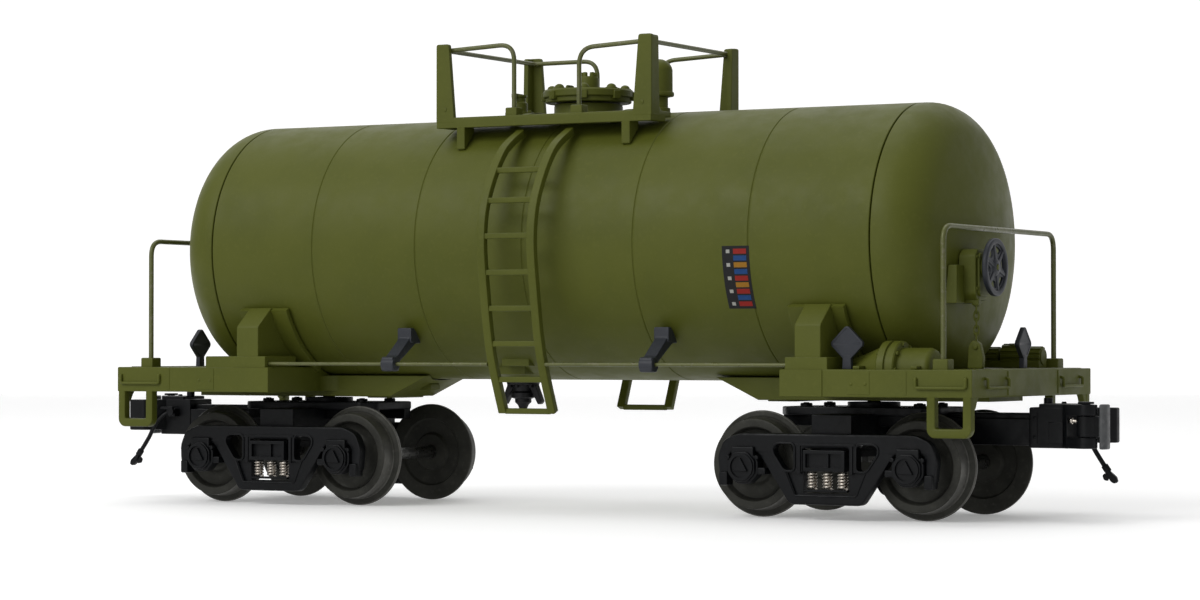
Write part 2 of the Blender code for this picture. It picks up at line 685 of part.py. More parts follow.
def truck_bolster():
    beam = block((-4.4, -20.6, 12.5), (4.4, 20.6, 21.0))
    ends = block((-BOLSTER_HALF, -BOLSTER_END, BOLSTER_BOTTOM), (BOLSTER_HALF, BOLSTER_END, 14.0))
    centre_gap = block((-6, -20.0, 8), (6, 20.0, 12.5))
    half = [(15.0, -10.0), (17.5, -7.0), (17.5, 7.0), (15.0, 10.0)]
    top = plate(half + [(-x, y) for x, y in half[::-1]], 20.6, 22.3)
    centre_plate = bar((0, 0), 5.4, 22.2, CENTRE_SILL_BOTTOM - GAP, segments=20)
    shape = joined(beam, cut(ends, centre_gap), top, centre_plate)
    return cut(shape, bar((0, 0), PIN_RADIUS + GAP, 8, 26, segments=12))


def kingpin():
    head_top = 12.5 - GAP
    shoulder = CENTRE_SILL_BOTTOM
    profile = [(0, PIN_TOP), (JOURNAL_RADIUS, PIN_TOP), (JOURNAL_RADIUS, shoulder),
               (PIN_RADIUS, shoulder - GAP),
               (PIN_RADIUS, head_top), (3.0, head_top), (3.0, head_top - 1.2), (0, head_top - 1.2)]
    return turned(profile, steps=12)


def side_frame():
    """A cast side frame on the near side of its truck."""
    half = [(7.8, 3.05), (13.4, 11.6), (13.8, 7.0), (22.2, 7.0), (23.6, 8.6), (24.0, 12.6), (22.6, 15.6),
            (19.4, 17.2)]
    outline = half + [(-x, z) for x, z in half[::-1]]
    window = [(6.9, 9.9), (8.9, 9.9), (11.3, 13.4), (11.3, 14.5), (10.4, 15.1), (7.4, 15.1), (6.9, 14.6)]
    centre = [(5.0, 5.35), (5.0, 14.3), (-5.0, 14.3), (-5.0, 5.35)]
    holes = [centre, window, [(-x, z) for x, z in window[::-1]]]
    casting = plate(outline, FRAME_IN, FRAME_OUT, ALONG_Y, holes)
    boxes = []
    cups = []
    for side in (-1, 1):
        x = side * AXLE_X
        boxes.append(block((x - 4.2, -24.6, 7.4), (x + 4.2, -FRAME_IN - 0.2, 14.8)))
        boxes.append(bar((x, AXLE_Z), 2.9, 24.4, 25.5, ALONG_Y, 12))
        cups.append(bar((x, AXLE_Z), JOURNAL_RADIUS + GAP + 0.1, 20, AXLE_TIP + GAP, ALONG_Y, 12))
    return cut(joined(casting, *boxes), *cups)


def spring_nest():
    """Three coils, as their outer shape, standing on a thin seat in the near side frame."""
    seat = block((-4.7, -23.3, 5.65), (4.7, -21.3, 6.15))
    coils = [bar((i * SPRING_PITCH, -22.3), SPRING_RADIUS, 6.0, BOLSTER_BOTTOM - GAP, segments=10)
             for i in (-1, 0, 1)]
    return joined(seat, *coils)


def wheel():
    """A wheel with its flange, on the near side of its axle, turned about the axle."""
    profile = [(AXLE_RADIUS + GAP, 18.6), (3.9, 18.6), (4.3, 17.5), (7.2, 17.5), (7.6, WHEEL_FACE),
               (TREAD_RADIUS, WHEEL_FACE), (TREAD_RADIUS + 0.2, 15.7), (FLANGE_RADIUS, 14.9),
               (FLANGE_RADIUS - 0.4, WHEEL_BACK), (AXLE_RADIUS + GAP, WHEEL_BACK)]
    return turned(profile, axis=ALONG_Y, steps=24, ring=True)


def axle():
    half = [(JOURNAL_RADIUS, 22.1), (JOURNAL_RADIUS, 19.4), (AXLE_RADIUS, 19.1)]
    profile = [(0, AXLE_TIP)] + half + [(r, -h) for r, h in half[::-1]] + [(0, -AXLE_TIP)]
    return turned(profile, axis=ALONG_Y, steps=12)


def coupler_body():
    """The coupler head on its tongue, with the air hose on its side, measured from the truck's centre."""
    tongue = block((5.0, -4.0, 14.9), (COUPLER_BACK + 1, 4.0, 20.3))
    head = plate([(COUPLER_BACK, -4.2), (42.6, -4.2), (43.9, -5.6), (43.9, 4.2), (COUPLER_BACK, 4.2)],
                 COUPLER_BOTTOM, COUPLER_TOP)
    guard = plate([(43.0, 2.0), (46.2, 3.4), (49.95, 6.0), (49.95, 8.0), (46.0, 8.0), (42.0, 4.0)],
                  GUARD_BOTTOM, GUARD_TOP)
    lug_outline = [(43.4, -5.2), (KNUCKLE_X - 0.6, -7.0)] + arc((KNUCKLE_X, KNUCKLE_Y), 2.2, -90, 90, 6)
    lug_outline += [(43.4, -2.6)]
    lugs = [plate(lug_outline, COUPLER_TOP - LUG_THICK, COUPLER_TOP - 0.05),
            plate(lug_outline, COUPLER_BOTTOM + 0.05, COUPLER_BOTTOM + LUG_THICK)]
    pins = [bar((37.3, 1.5), 0.9, 23.0, 24.3, segments=10), bar((41.0, 0.5), 0.5, 23.0, 23.6, segments=10)]
    hose = wire(smooth([(38.8, 3.6, 19.6), (41.0, 5.4, 19.4), (43.4, 6.4, 17.0), (45.4, 6.9, 13.6),
                        (48.2, 7.9, 8.6)], 2), 0.5)
    cock = block((38.4, 3.8, 18.4), (40.8, 6.2, 20.6))
    hand = block((47.1, 7.1, 7.2), (49.3, 8.7, 9.6))
    shape = joined(tongue, head, guard, *lugs, *pins, cock, hose, hand)
    pin_hole = bar((KNUCKLE_X, KNUCKLE_Y), 1.2, 13, 25, segments=10)
    return cut(shape, pin_hole)


def knuckle():
    """The coupler's knuckle, closed, about its pin."""
    bottom = COUPLER_BOTTOM + LUG_THICK + GAP
    top = COUPLER_TOP - LUG_THICK - GAP
    barrel = bar((0, 0), 1.9, bottom, top, segments=12)
    pin = bar((0, 0), 0.9, COUPLER_BOTTOM + 0.1, COUPLER_TOP - 0.1, segments=8)
    tang = plate([(0.2, -1.7), (2.8, 0.4), (2.8, 3.0), (0.6, 1.6)], bottom, top)
    nose = plate([(2.55, 0.2), (3.4, 0.4), (3.9, 1.2), (3.9, 3.0), (3.3, 3.8), (2.3, 4.0), (2.3, 2.6)],
                 COUPLER_BOTTOM, COUPLER_TOP)
    return joined(barrel, pin, tang, nose)


# ---------------------------------------------------------------- assembly

HALF_TURN = math.pi
ENDS = (("brake_end", 1, 0.0), ("plain_end", -1, HALF_TURN))
SIDES = (("near", 0.0), ("far", HALF_TURN))


def add_tank():
    place("tank_barrel", tank_barrel(), "olive_plastic")
    head = tank_head()
    for end, _, turn in ENDS:
        place(f"tank_head_{end}", head, "olive_plastic", turn=turn)
    place("ballast_weight", ballast_weight(), "weight_steel")
    place("manway_cover", manway_cover(), "olive_plastic")
    place("relief_valve", relief_valve(), "olive_plastic")
    place("outlet_valve", outlet_valve(), "black_plastic")


def add_walkway_and_ladders():
    place("walkway_frame", walkway_frame(), "olive_plastic")
    place("walkway_rail_brake_end", walkway_rail(-0.8, -0.8), "olive_wire")
    place("walkway_rail_plain_end", walkway_rail(0.0, 0.8), "olive_wire", turn=HALF_TURN)
    stiles = ladder()
    handrail = side_handrail()
    other_handrail = mirrored(handrail, 0)
    bracket = rail_bracket()
    for side, turn in SIDES:
        place(f"ladder_{side}", stiles, "olive_plastic", turn=turn)
        for end, way, end_turn in ENDS:
            rail = handrail if turn == end_turn else other_handrail
            place(f"side_handrail_{side}_{end}", rail, "olive_wire", turn=turn)
            place(f"rail_bracket_{side}_{end}", bracket, "slate_plastic", (way * BRACKET_X, 0, 0), turn)


def add_platforms():
    handrail = end_handrail()
    for end, way, turn in ENDS:
        place(f"underframe_{end}", underframe(way > 0), "olive_plastic", turn=turn)
        place(f"end_handrail_{end}", handrail, "olive_wire", turn=turn)
    board = placard()
    foot = SILL_TOP + GAP
    place("placard_near_side", board, "slate_plastic", (74.1, -28.0, foot))
    place("placard_far_side", board, "slate_plastic", (-74.1, 28.0, foot), HALF_TURN)
    place("placard_brake_end", board, "slate_plastic", (95.8, 9.5, foot), math.pi / 2)
    place("placard_plain_end", board, "slate_plastic", (-95.8, -9.5, foot), -math.pi / 2)
    place("brake_reservoir", brake_reservoir(), "olive_plastic")
    place("brake_control_valve", brake_control_valve(), "olive_plastic")
    place("hand_brake_housing", hand_brake_housing(), "olive_plastic")
    place("hand_brake_wheel", hand_brake_wheel(), "slate_plastic",
          (BRAKE_WHEEL_X, BRAKE_WHEEL_Y, BRAKE_WHEEL_Z))


def add_trucks():
    frame = side_frame()
    nest = spring_nest()
    bolster = truck_bolster()
    disc = wheel()
    shaft = axle()
    body = coupler_body()
    jaw = knuckle()
    pin = kingpin()
    for end, way, turn in ENDS:
        place(f"kingpin_{end}", pin, "axle_steel", (way * TRUCK_X, 0, 0))
        truck = pivot(f"truck_{end}", (way * TRUCK_X, 0, 0), turn)
        place(f"truck_bolster_{end}", bolster, "black_casting", parent=truck)
        place(f"coupler_{end}", body, "black_casting", parent=truck)
        place(f"coupler_knuckle_{end}", jaw, "knuckle_grey", (KNUCKLE_X, KNUCKLE_Y, 0), parent=truck)
        for side, side_turn in SIDES:
            place(f"side_frame_{side}_{end}", frame, "black_casting", turn=side_turn - turn, parent=truck)
            place(f"spring_nest_{side}_{end}", nest, "spring_steel", turn=side_turn - turn, parent=truck)
        for position, x in (("outer", AXLE_X), ("inner", -AXLE_X)):
            spin = pivot(f"wheelset_{position}_{end}", (x, 0, AXLE_Z), parent=truck)
            place(f"axle_{position}_{end}", shaft, "axle_steel", parent=spin)
            for side, side_turn in SIDES:
                place(f"wheel_{position}_{side}_{end}", disc, "wheel_steel", turn=side_turn - turn,
                      parent=spin)


clear_scene()
WAGON = make_collection("model_tank_wagon")
CUTTERS = make_collection("cutters")
MATERIALS = make_materials()
add_tank()
add_walkway_and_ladders()
add_platforms()
add_trucks()
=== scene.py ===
"""The looks of the model tank wagon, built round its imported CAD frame.

Sizes are in millimetres. X runs along the wagon (+X is the hand-brake end), Y across it (-Y is the near
side) and Z up from the underside of the wheel flanges. What repeats at the two ends is one shape, turned
half round about Z.
"""

import json
import math

import bmesh
import bpy
from mathutils import Matrix, Vector

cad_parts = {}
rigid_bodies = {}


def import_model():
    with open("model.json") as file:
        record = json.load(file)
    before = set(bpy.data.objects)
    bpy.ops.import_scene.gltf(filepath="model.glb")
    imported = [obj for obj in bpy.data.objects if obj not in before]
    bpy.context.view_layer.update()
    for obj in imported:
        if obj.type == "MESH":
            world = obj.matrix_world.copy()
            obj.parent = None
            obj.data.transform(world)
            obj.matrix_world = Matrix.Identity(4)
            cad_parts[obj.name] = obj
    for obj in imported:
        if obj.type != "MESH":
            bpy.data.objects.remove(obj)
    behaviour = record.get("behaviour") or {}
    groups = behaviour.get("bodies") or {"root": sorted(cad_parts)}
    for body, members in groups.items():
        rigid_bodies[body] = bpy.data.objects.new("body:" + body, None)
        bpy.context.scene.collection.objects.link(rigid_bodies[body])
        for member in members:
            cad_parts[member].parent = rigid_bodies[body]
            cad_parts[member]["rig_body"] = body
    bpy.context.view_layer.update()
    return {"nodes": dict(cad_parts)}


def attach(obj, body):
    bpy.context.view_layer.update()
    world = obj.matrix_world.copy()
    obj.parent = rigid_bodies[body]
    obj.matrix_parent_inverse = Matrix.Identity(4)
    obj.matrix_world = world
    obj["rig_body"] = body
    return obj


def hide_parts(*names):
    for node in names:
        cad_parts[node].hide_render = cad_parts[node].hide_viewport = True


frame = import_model()

MM = 0.001
CAMERA_PLACE = (0.33846, -0.59861, 0.0341)
CAMERA_TILT = 90.87
CAMERA_TURN = 29.28
CAMERA_LENS = 96.06
GAP = 0.3
SOFT = 0.18

TANK_RADIUS = 28.3
TANK_AXIS_Z = 55.7
TANK_WALL = 1.5
BARREL_END = 78.7
HEAD_END = 92.3
HEAD_KNUCKLE = 10.0
HEAD_RIM = 0.8
SPIGOT_LENGTH = 4.0
CROWN_Z = TANK_AXIS_Z + TANK_RADIUS
SEAMS = (52.4, 26.2, 0.0, -26.2, -52.4)
FINE = 144

NECK_RADIUS = 7.4
COVER_RADIUS = 9.75
COVER_Z = 86.75
FITTING_X = 17.2
OUTLET_X = -16.3

WALK_X = 26.1
WALK_Y = 20.0
WALK_TOP = 83.3
WALK_DEPTH = 2.25
DECK_INNER_Y = 11.2
POST_TOP = 99.0
POST_THICK = 1.2
POST_FOOT_WIDTH = 4.5
POST_HEAD_WIDTH = 3.1
POST_DEPTH = 3.8
RAIL_RADIUS = 0.5
RAIL_Z = 97.7
STANCHION_X = 7.9
STRAP_X = 12.5

LADDER_HALF_WIDTH = 6.9
STILE_THICK = 1.9
STILE_DEPTH = 1.6
RUNG_HEIGHTS = (71.1, 64.7, 57.3, 49.8, 42.4, 35.1, 27.7, 21.1)

PLATFORM_IN = 61.3
PLATFORM_OUT = 101.9
PLATFORM_HALF_WIDTH = 31.9
SILL_TOP = 30.05
SILL_BOTTOM = 24.65
SILL_THICK = 1.6
DECK_THICK = 1.5
CENTRE_SILL_HALF = 9.0
CENTRE_SILL_BOTTOM = 23.55
HANDRAIL_X = 94.8
HANDRAIL_Y = 29.0
HANDRAIL_TOP = 57.85
HANDRAIL_RADIUS = 0.55
SIDE_RAIL_Y = 30.3
SIDE_RAIL_Z = 30.85
SIDE_RAIL_RADIUS = 0.4
BRACKET_X = 31.0
GRAB_RADIUS = 0.32
RESERVOIR_Y = -24.0
CONTROL_VALVE_Y = 24.0

BRAKE_WHEEL_Y = -9.7
BRAKE_WHEEL_Z = 50.15
BRAKE_WHEEL_X = 97.0
BRAKE_WHEEL_RADIUS = 5.75

TRUCK_X = 67.05
AXLE_X = 18.0
AXLE_Z = 10.8
FLANGE_RADIUS = 10.8
TREAD_RADIUS = 9.15
WHEEL_BACK = 14.2
WHEEL_FACE = 19.0
AXLE_RADIUS = 1.5
JOURNAL_RADIUS = 1.2
AXLE_TIP = 23.3
BOX_DROP = 0.35
FRAME_IN = 21.0
FRAME_OUT = 23.6
BOLSTER_HALF = 4.6
BOLSTER_END = 24.3
BOLSTER_BOTTOM = 9.7
SPRING_PITCH = 3.35
SPRING_RADIUS = 1.0
COUPLER_BACK = 35.4
COUPLER_BOTTOM = 14.45
COUPLER_TOP = 23.2
KNUCKLE_X = 47.6
KNUCKLE_Y = -4.8
LUG_THICK = 2.2
GUARD_BOTTOM = 15.4
GUARD_TOP = 22.4
NOSE_BACK = 2.2
NOSE_REACH = 2.45

ALONG_X = Matrix(((0, 0, 1, 0), (1, 0, 0, 0), (0, 1, 0, 0), (0, 0, 0, 1)))
ALONG_Y = Matrix.Rotation(math.pi / 2, 4, "X")
ALONG_Z = Matrix.Identity(4)
RAISED_X = Matrix(((0, 0, 1, 0), (0, 1, 0, -4.3 * MM), (1, 0, 0, 0), (0, 0, 0, 1)))
HALF_TURN = math.pi
ENDS = (("brake_end", 1, 0.0), ("plain_end", -1, HALF_TURN))
SIDES = (("near", 0.0), ("far", HALF_TURN))


# ---------------------------------------------------------------- shape tools

def temporary(mesh_or_curve):
    obj = bpy.data.objects.new("shape", mesh_or_curve)
    WORKSHOP.objects.link(obj)
    return obj


def baked(obj, weld=True):
    """The evaluated mesh of an object, welded, with its faces pointing out; the object is removed."""
    graph = bpy.context.evaluated_depsgraph_get()
    mesh = bpy.data.meshes.new_from_object(obj.evaluated_get(graph), depsgraph=graph)
    bpy.data.objects.remove(obj, do_unlink=True)
    if weld:
        bm = bmesh.new()
        bm.from_mesh(mesh)
        bmesh.ops.remove_doubles(bm, verts=bm.verts, dist=1e-6)
        bmesh.ops.dissolve_degenerate(bm, edges=bm.edges, dist=1e-6)
        bmesh.ops.recalc_face_normals(bm, faces=bm.faces)
        bm.to_mesh(mesh)
        bm.free()
    return mesh


def from_bmesh(bm):
    mesh = bpy.data.meshes.new("shape")
    bm.to_mesh(mesh)
    bm.free()
    return mesh


def block(low, high, soft=SOFT):
    """A box between two corners with rounded edges."""
    low = Vector(low)
    high = Vector(high)
    size = high - low
    bm = bmesh.new()
    matrix = Matrix.Translation((low + high) / 2 * MM) @ Matrix.Diagonal((size * MM).to_4d())
    bmesh.ops.create_cube(bm, size=1, matrix=matrix)
    width = min(soft, 0.3 * min(size)) * MM
    bmesh.ops.bevel(bm, geom=bm.edges[:], offset=width, segments=2, profile=0.5, affect="EDGES")
    return from_bmesh(bm)


def bar(centre, radius, start, end, axis=ALONG_Z, segments=32, soft=0.12):
    """A round bar along an axis with eased rims; centre is its place in the plane across that axis."""
    bm = bmesh.new()
    middle = Vector((centre[0], centre[1], (start + end) / 2)) * MM
    bmesh.ops.create_cone(bm, cap_ends=True, segments=segments, radius1=radius * MM, radius2=radius * MM,
                          depth=(end - start) * MM, matrix=axis @ Matrix.Translation(middle))
    rims = [edge for edge in bm.edges if any(len(face.verts) > 4 for face in edge.link_faces)]
    width = min(soft, 0.3 * radius, 0.3 * (end - start)) * MM
    bmesh.ops.bevel(bm, geom=rims, offset=width, segments=2, profile=0.5, affect="EDGES")
    return from_bmesh(bm)


def turned(profile, centre=(0, 0), axis=ALONG_Z, steps=64, ring=False):
    """A profile of (radius, height) points turned about an axis; a ring's profile is closed."""
    mesh = bpy.data.meshes.new("profile")
    points = [(radius * MM, 0, height * MM) for radius, height in profile]
    edges = [(i, i + 1) for i in range(len(points) - 1)]
    if ring:
        edges.append((len(points) - 1, 0))
    mesh.from_pydata(points, edges, [])
    obj = temporary(mesh)
    screw = obj.modifiers.new("Turn", "SCREW")
    screw.axis = "Z"
    screw.steps = steps
    screw.render_steps = steps
    screw.use_merge_vertices = True
    screw.merge_threshold = 1e-6
    result = baked(obj)
    result.transform(axis @ Matrix.Translation(Vector((centre[0], centre[1], 0)) * MM))
    return result


def plate(outline, start, end, axis=ALONG_Z, holes=(), soft=0.15):
    """A flat outline, with holes, made solid between two places along an axis, its edges rounded."""
    half = abs(end - start) / 2
    width = min(soft, 0.45 * half)
    curve = bpy.data.curves.new("outline", "CURVE")
    curve.dimensions = "2D"
    curve.fill_mode = "BOTH"
    curve.extrude = (half - width) * MM
    curve.bevel_depth = width * MM
    curve.bevel_resolution = 1
    curve.offset = -width * MM
    for loop in (outline, *holes):
        spline = curve.splines.new("POLY")
        spline.points.add(len(loop) - 1)
        for point, (x, y) in zip(spline.points, loop):
            point.co = (x * MM, y * MM, 0, 1)
        spline.use_cyclic_u = True
    result = baked(temporary(curve))
    result.transform(axis @ Matrix.Translation((0, 0, (start + end) / 2 * MM)))
    return result


def wire(points, radius, resolution=4):
    """A round wire with closed ends along a list of points."""
    curve = bpy.data.curves.new("wire", "CURVE")
    curve.dimensions = "3D"
    curve.bevel_depth = radius * MM
    curve.bevel_resolution = resolution
    curve.use_fill_caps = True
    spline = curve.splines.new("POLY")
    spline.points.add(len(points) - 1)
    for point, place in zip(spline.points, points):
        point.co = (*(Vector(place) * MM), 1)
    return baked(temporary(curve))


def combined(first, others, operation):
    others = list(others)
    if not others:
        return first
    obj = temporary(first)
    helpers = bpy.data.collections.new("helpers")
    WORKSHOP.children.link(helpers)
    for mesh in others:
        helpers.objects.link(bpy.data.objects.new("helper", mesh))
    boolean = obj.modifiers.new("Combine", "BOOLEAN")
    boolean.operation = operation
    boolean.solver = "EXACT"
    boolean.operand_type = "COLLECTION"
    boolean.collection = helpers
    result = baked(obj)
    for helper in list(helpers.objects):
        bpy.data.objects.remove(helper, do_unlink=True)
    bpy.data.collections.remove(helpers)
    return result


def joined(*meshes):
    return combined(meshes[0], meshes[1:], "UNION")


def cut(mesh, *cutters):
    return combined(mesh, cutters, "DIFFERENCE")


def moved(mesh, matrix):
    copy = mesh.copy()
    copy.transform(matrix)
    return copy


def shift(x=0.0, y=0.0, z=0.0):
    return Matrix.Translation(Vector((x, y, z)) * MM)


def mirrored(mesh, axis):
    """A copy of a shape mirrored across the plane through the origin and across the given axis."""
    scale = Vector((1, 1, 1))
    scale[axis] = -1
    copy = moved(mesh, Matrix.Diagonal(scale.to_4d()))
    copy.flip_normals()
    return copy


def arc(centre, radius, start, end, steps):
    """Points on a circle between two angles in degrees."""
    angles = [math.radians(start + (end - start) * i / steps) for i in range(steps + 1)]
    return [(centre[0] + radius * math.cos(a), centre[1] + radius * math.sin(a)) for a in angles]


def bend(before, corner, after, radius, steps):
    """Points of a round bend at one corner of a path, no longer than the path's edges allow."""
    corner = Vector(corner)
    back = Vector(before) - corner
    ahead = Vector(after) - corner
    reach = min(radius, 0.48 * back.length, 0.48 * ahead.length)
    start = corner + back.normalized() * reach
    end = corner + ahead.normalized() * reach
    shares = [i / steps for i in range(steps + 1)]
    return [start * (1 - t) ** 2 + corner * 2 * t * (1 - t) + end * t ** 2 for t in shares]


def rounded(points, radius, steps=8):
    """An open path whose inner corners are round bends."""
    path = [Vector(points[0])]
    for before, corner, after in zip(points, points[1:], points[2:]):
        path += bend(before, corner, after, radius, steps)
    path.append(Vector(points[-1]))
    return path


def eased(points, radius, steps=3):
    """A closed outline whose corners are round bends."""
    path = []
    for i, corner in enumerate(points):
        path += bend(points[i - 1], corner, points[(i + 1) % len(points)], radius, steps)
    return [tuple(point) for point in path]


def inset(outline, depth):
    """A closed outline moved inwards all round."""
    area = sum(a[0] * b[1] - b[0] * a[1] for a, b in zip(outline, outline[1:] + outline[:1]))
    side = 1 if area > 0 else -1
    result = []
    for i, point in enumerate(outline):
        here = Vector(point)
        into = (here - Vector(outline[i - 1])).normalized()
        out = (Vector(outline[(i + 1) % len(outline)]) - here).normalized()
        square = Vector((-into.y - out.y, into.x + out.x)) * side
        result.append(tuple(here + square * depth / max(square.length_squared / 2, 0.3)))
    return result


def smooth(points, steps=6):
    """A Catmull-Rom curve through a few points."""
    ends = [points[0], *points, points[-1]]
    path = []
    for a, b, c, d in zip(ends, ends[1:], ends[2:], ends[3:]):
        for i in range(steps):
            t = i / steps
            path.append(tuple(0.5 * (2 * q + (r - p) * t + (2 * p - 5 * q + 4 * r - s) * t ** 2
                                     + (3 * q - p - 3 * r + s) * t ** 3)
                              for p, q, r, s in zip(a, b, c, d)))
    path.append(points[-1])
    return path


def dome(centre, radius, height, base, axis=ALONG_Z, steps=20):
    """A low round head, such as a rivet's, standing on a base height along an axis."""
    profile = [(0, base - 0.3), (radius, base - 0.3), (radius, base)]
    profile += [(radius * math.cos(a), base + height * math.sin(a)) for a in (0.4, 0.8, 1.2)]
    profile.append((0, base + height))
    return turned(profile, centre, axis, steps)


# ---------------------------------------------------------------- materials

def noise_node(tree, size, detail=3.0, roughness=0.5):
    """A noise texture in the piece's own coordinates, with features about size millimetres across."""
    place = tree.nodes.new("ShaderNodeTexCoord")
    noise = tree.nodes.new("ShaderNodeTexNoise")
    noise.inputs["Scale"].default_value = 1.0 / (size * MM)
    noise.inputs["Detail"].default_value = detail
    noise.inputs["Roughness"].default_value = roughness
    tree.links.new(place.outputs["Object"], noise.inputs["Vector"])
    return noise.outputs["Fac"]


def ranged(tree, value, low, high, to_low, to_high):
    node = tree.nodes.new("ShaderNodeMapRange")
    node.interpolation_type = "SMOOTHSTEP"
    node.inputs["From Min"].default_value = low
    node.inputs["From Max"].default_value = high
    node.inputs["To Min"].default_value = to_low
    node.inputs["To Max"].default_value = to_high
    tree.links.new(value, node.inputs["Value"])
    return node.outputs["Result"]


def mixed(tree, factor, first, second):
    node = tree.nodes.new("ShaderNodeMix")
    node.data_type = "RGBA"
    tree.links.new(factor, node.inputs[0])
    for socket, colour in ((node.inputs[6], first), (node.inputs[7], second)):
        if isinstance(colour, bpy.types.NodeSocket):
            tree.links.new(colour, socket)
        else:
            socket.default_value = (*colour, 1)
    return node.outputs[2]


def surface(name, colour, shade, fleck, roughness, spread, metallic=0.0, shine=0.4, grain=0.012,
            grain_size=0.35, patch=14.0):
    """A finish with broad patches of shade, fine flecks, uneven gloss and a fine grain."""
    material = bpy.data.materials.new(name)
    material.use_nodes = True
    tree = material.node_tree
    shader = tree.nodes["Principled BSDF"]
    shader.inputs["Metallic"].default_value = metallic
    shader.inputs["Specular IOR Level"].default_value = shine
    patches = ranged(tree, noise_node(tree, patch, 4.0), 0.35, 0.7, 0.0, 1.0)
    flecks = ranged(tree, noise_node(tree, 0.9, 2.0), 0.52, 0.78, 0.0, 0.55)
    base = mixed(tree, patches, colour, shade)
    tree.links.new(mixed(tree, flecks, base, fleck), shader.inputs["Base Color"])
    gloss = ranged(tree, noise_node(tree, patch / 3, 5.0, 0.6), 0.3, 0.7, roughness - spread,
                   roughness + spread)
    tree.links.new(gloss, shader.inputs["Roughness"])
    bump = tree.nodes.new("ShaderNodeBump")
    bump.inputs["Strength"].default_value = 0.6
    bump.inputs["Distance"].default_value = grain * MM
    tree.links.new(noise_node(tree, grain_size, 4.0, 0.6), bump.inputs["Height"])
    tree.links.new(bump.outputs["Normal"], shader.inputs["Normal"])
    material.diffuse_color = (*colour, 1)
    return material


def make_finishes():
    """Every finish of the wagon by its short name."""
    finishes = {
        "olive": surface("olive_moulding", (0.092, 0.103, 0.0130), (0.081, 0.092, 0.0108),
                         (0.102, 0.113, 0.0165), 0.50, 0.06, shine=0.2, grain=0.010, grain_size=0.3),
        "olive_wire": surface("olive_painted_wire", (0.110, 0.118, 0.034), (0.088, 0.098, 0.024),
                              (0.190, 0.170, 0.130), 0.34, 0.08, 0.1, 0.4, 0.008, 0.25, 5.0),
        "slate": surface("slate_moulding", (0.026, 0.029, 0.037), (0.021, 0.024, 0.031),
                         (0.034, 0.038, 0.047), 0.42, 0.07, shine=0.3, grain=0.010),
        "black": surface("black_moulding", (0.006, 0.006, 0.007), (0.004, 0.004, 0.005),
                         (0.011, 0.011, 0.012), 0.42, 0.08, shine=0.2),
        "casting": surface("black_painted_casting", (0.0032, 0.0037, 0.0046), (0.0021, 0.0024, 0.0029),
                           (0.007, 0.008, 0.009), 0.40, 0.10, 0.0, 0.16, 0.020, 0.45, 6.0),
        "wheel": surface("blackened_wheel_metal", (0.040, 0.040, 0.034), (0.028, 0.028, 0.024),
                         (0.058, 0.057, 0.049), 0.50, 0.08, 0.3, 0.16, 0.015, 0.30, 5.0),
        "tread": surface("polished_tread_metal", (0.110, 0.108, 0.098), (0.078, 0.077, 0.070),
                         (0.155, 0.152, 0.138), 0.42, 0.09, 0.55, 0.25, 0.010, 0.22, 4.0),
        "steel": surface("dark_axle_steel", (0.16, 0.16, 0.155), (0.105, 0.105, 0.100),
                         (0.24, 0.24, 0.23), 0.32, 0.08, 0.95, 0.5, 0.008, 0.2, 3.0),
        "spring": surface("bright_spring_wire", (0.62, 0.57, 0.50), (0.45, 0.41, 0.36),
                          (0.80, 0.76, 0.70), 0.24, 0.06, 1.0, 0.5, 0.006, 0.15, 1.5),
        "knuckle": surface("bare_grey_casting", (0.095, 0.098, 0.100), (0.062, 0.065, 0.067),
                           (0.145, 0.147, 0.150), 0.42, 0.09, 0.4, 0.4, 0.016, 0.25, 2.5),
        "weight": surface("plain_bar_steel", (0.25, 0.25, 0.25), (0.18, 0.18, 0.18),
                          (0.33, 0.33, 0.33), 0.45, 0.08, 1.0),
    }
    panel_inks = {
        "black": ((0.008, 0.008, 0.009), (0.006, 0.006, 0.007), (0.011, 0.011, 0.012)),
        "red": ((0.30, 0.018, 0.012), (0.25, 0.014, 0.010), (0.34, 0.026, 0.017)),
        "blue": ((0.012, 0.060, 0.20), (0.010, 0.050, 0.17), (0.017, 0.072, 0.24)),
        "amber": ((0.34, 0.16, 0.016), (0.30, 0.14, 0.013), (0.38, 0.19, 0.023)),
        "white": ((0.42, 0.42, 0.38), (0.36, 0.36, 0.33), (0.48, 0.48, 0.44)),
    }
    for ink, (colour, shade, fleck) in panel_inks.items():
        finishes[f"panel_{ink}"] = surface(f"panel_{ink}_print", colour, shade, fleck, 0.42, 0.05,
                                           shine=0.2, grain=0.004)
    return finishes


def finished(mesh, *finishes):
    """Gives a mesh its finishes and shades it so that flat faces stay flat between rounded edges."""
    mesh.materials.clear()
    for finish in finishes:
        mesh.materials.append(FINISHES[finish])
    mesh.shade_smooth()
    mesh.set_sharp_from_angle(angle=math.radians(38))
    obj = temporary(mesh)
    obj.modifiers.new("Shade", "WEIGHTED_NORMAL").keep_sharp = True
    return baked(obj, weld=False)


def show(node, mesh, location=(0, 0, 0), turn=0.0, stands_for=True, name=None):
    """Adds a finished piece at a place; it moves with the CAD node's body and hides that node when it stands
    for it.
    """
    obj = bpy.data.objects.new(name or f"{node}_look", mesh)
    bpy.context.scene.collection.objects.link(obj)
    obj.matrix_world = shift(*location) @ Matrix.Rotation(turn, 4, "Z")
    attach(obj, frame["nodes"][node]["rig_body"])
    if stands_for:
        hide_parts(node)
    return obj


# ---------------------------------------------------------------- tank

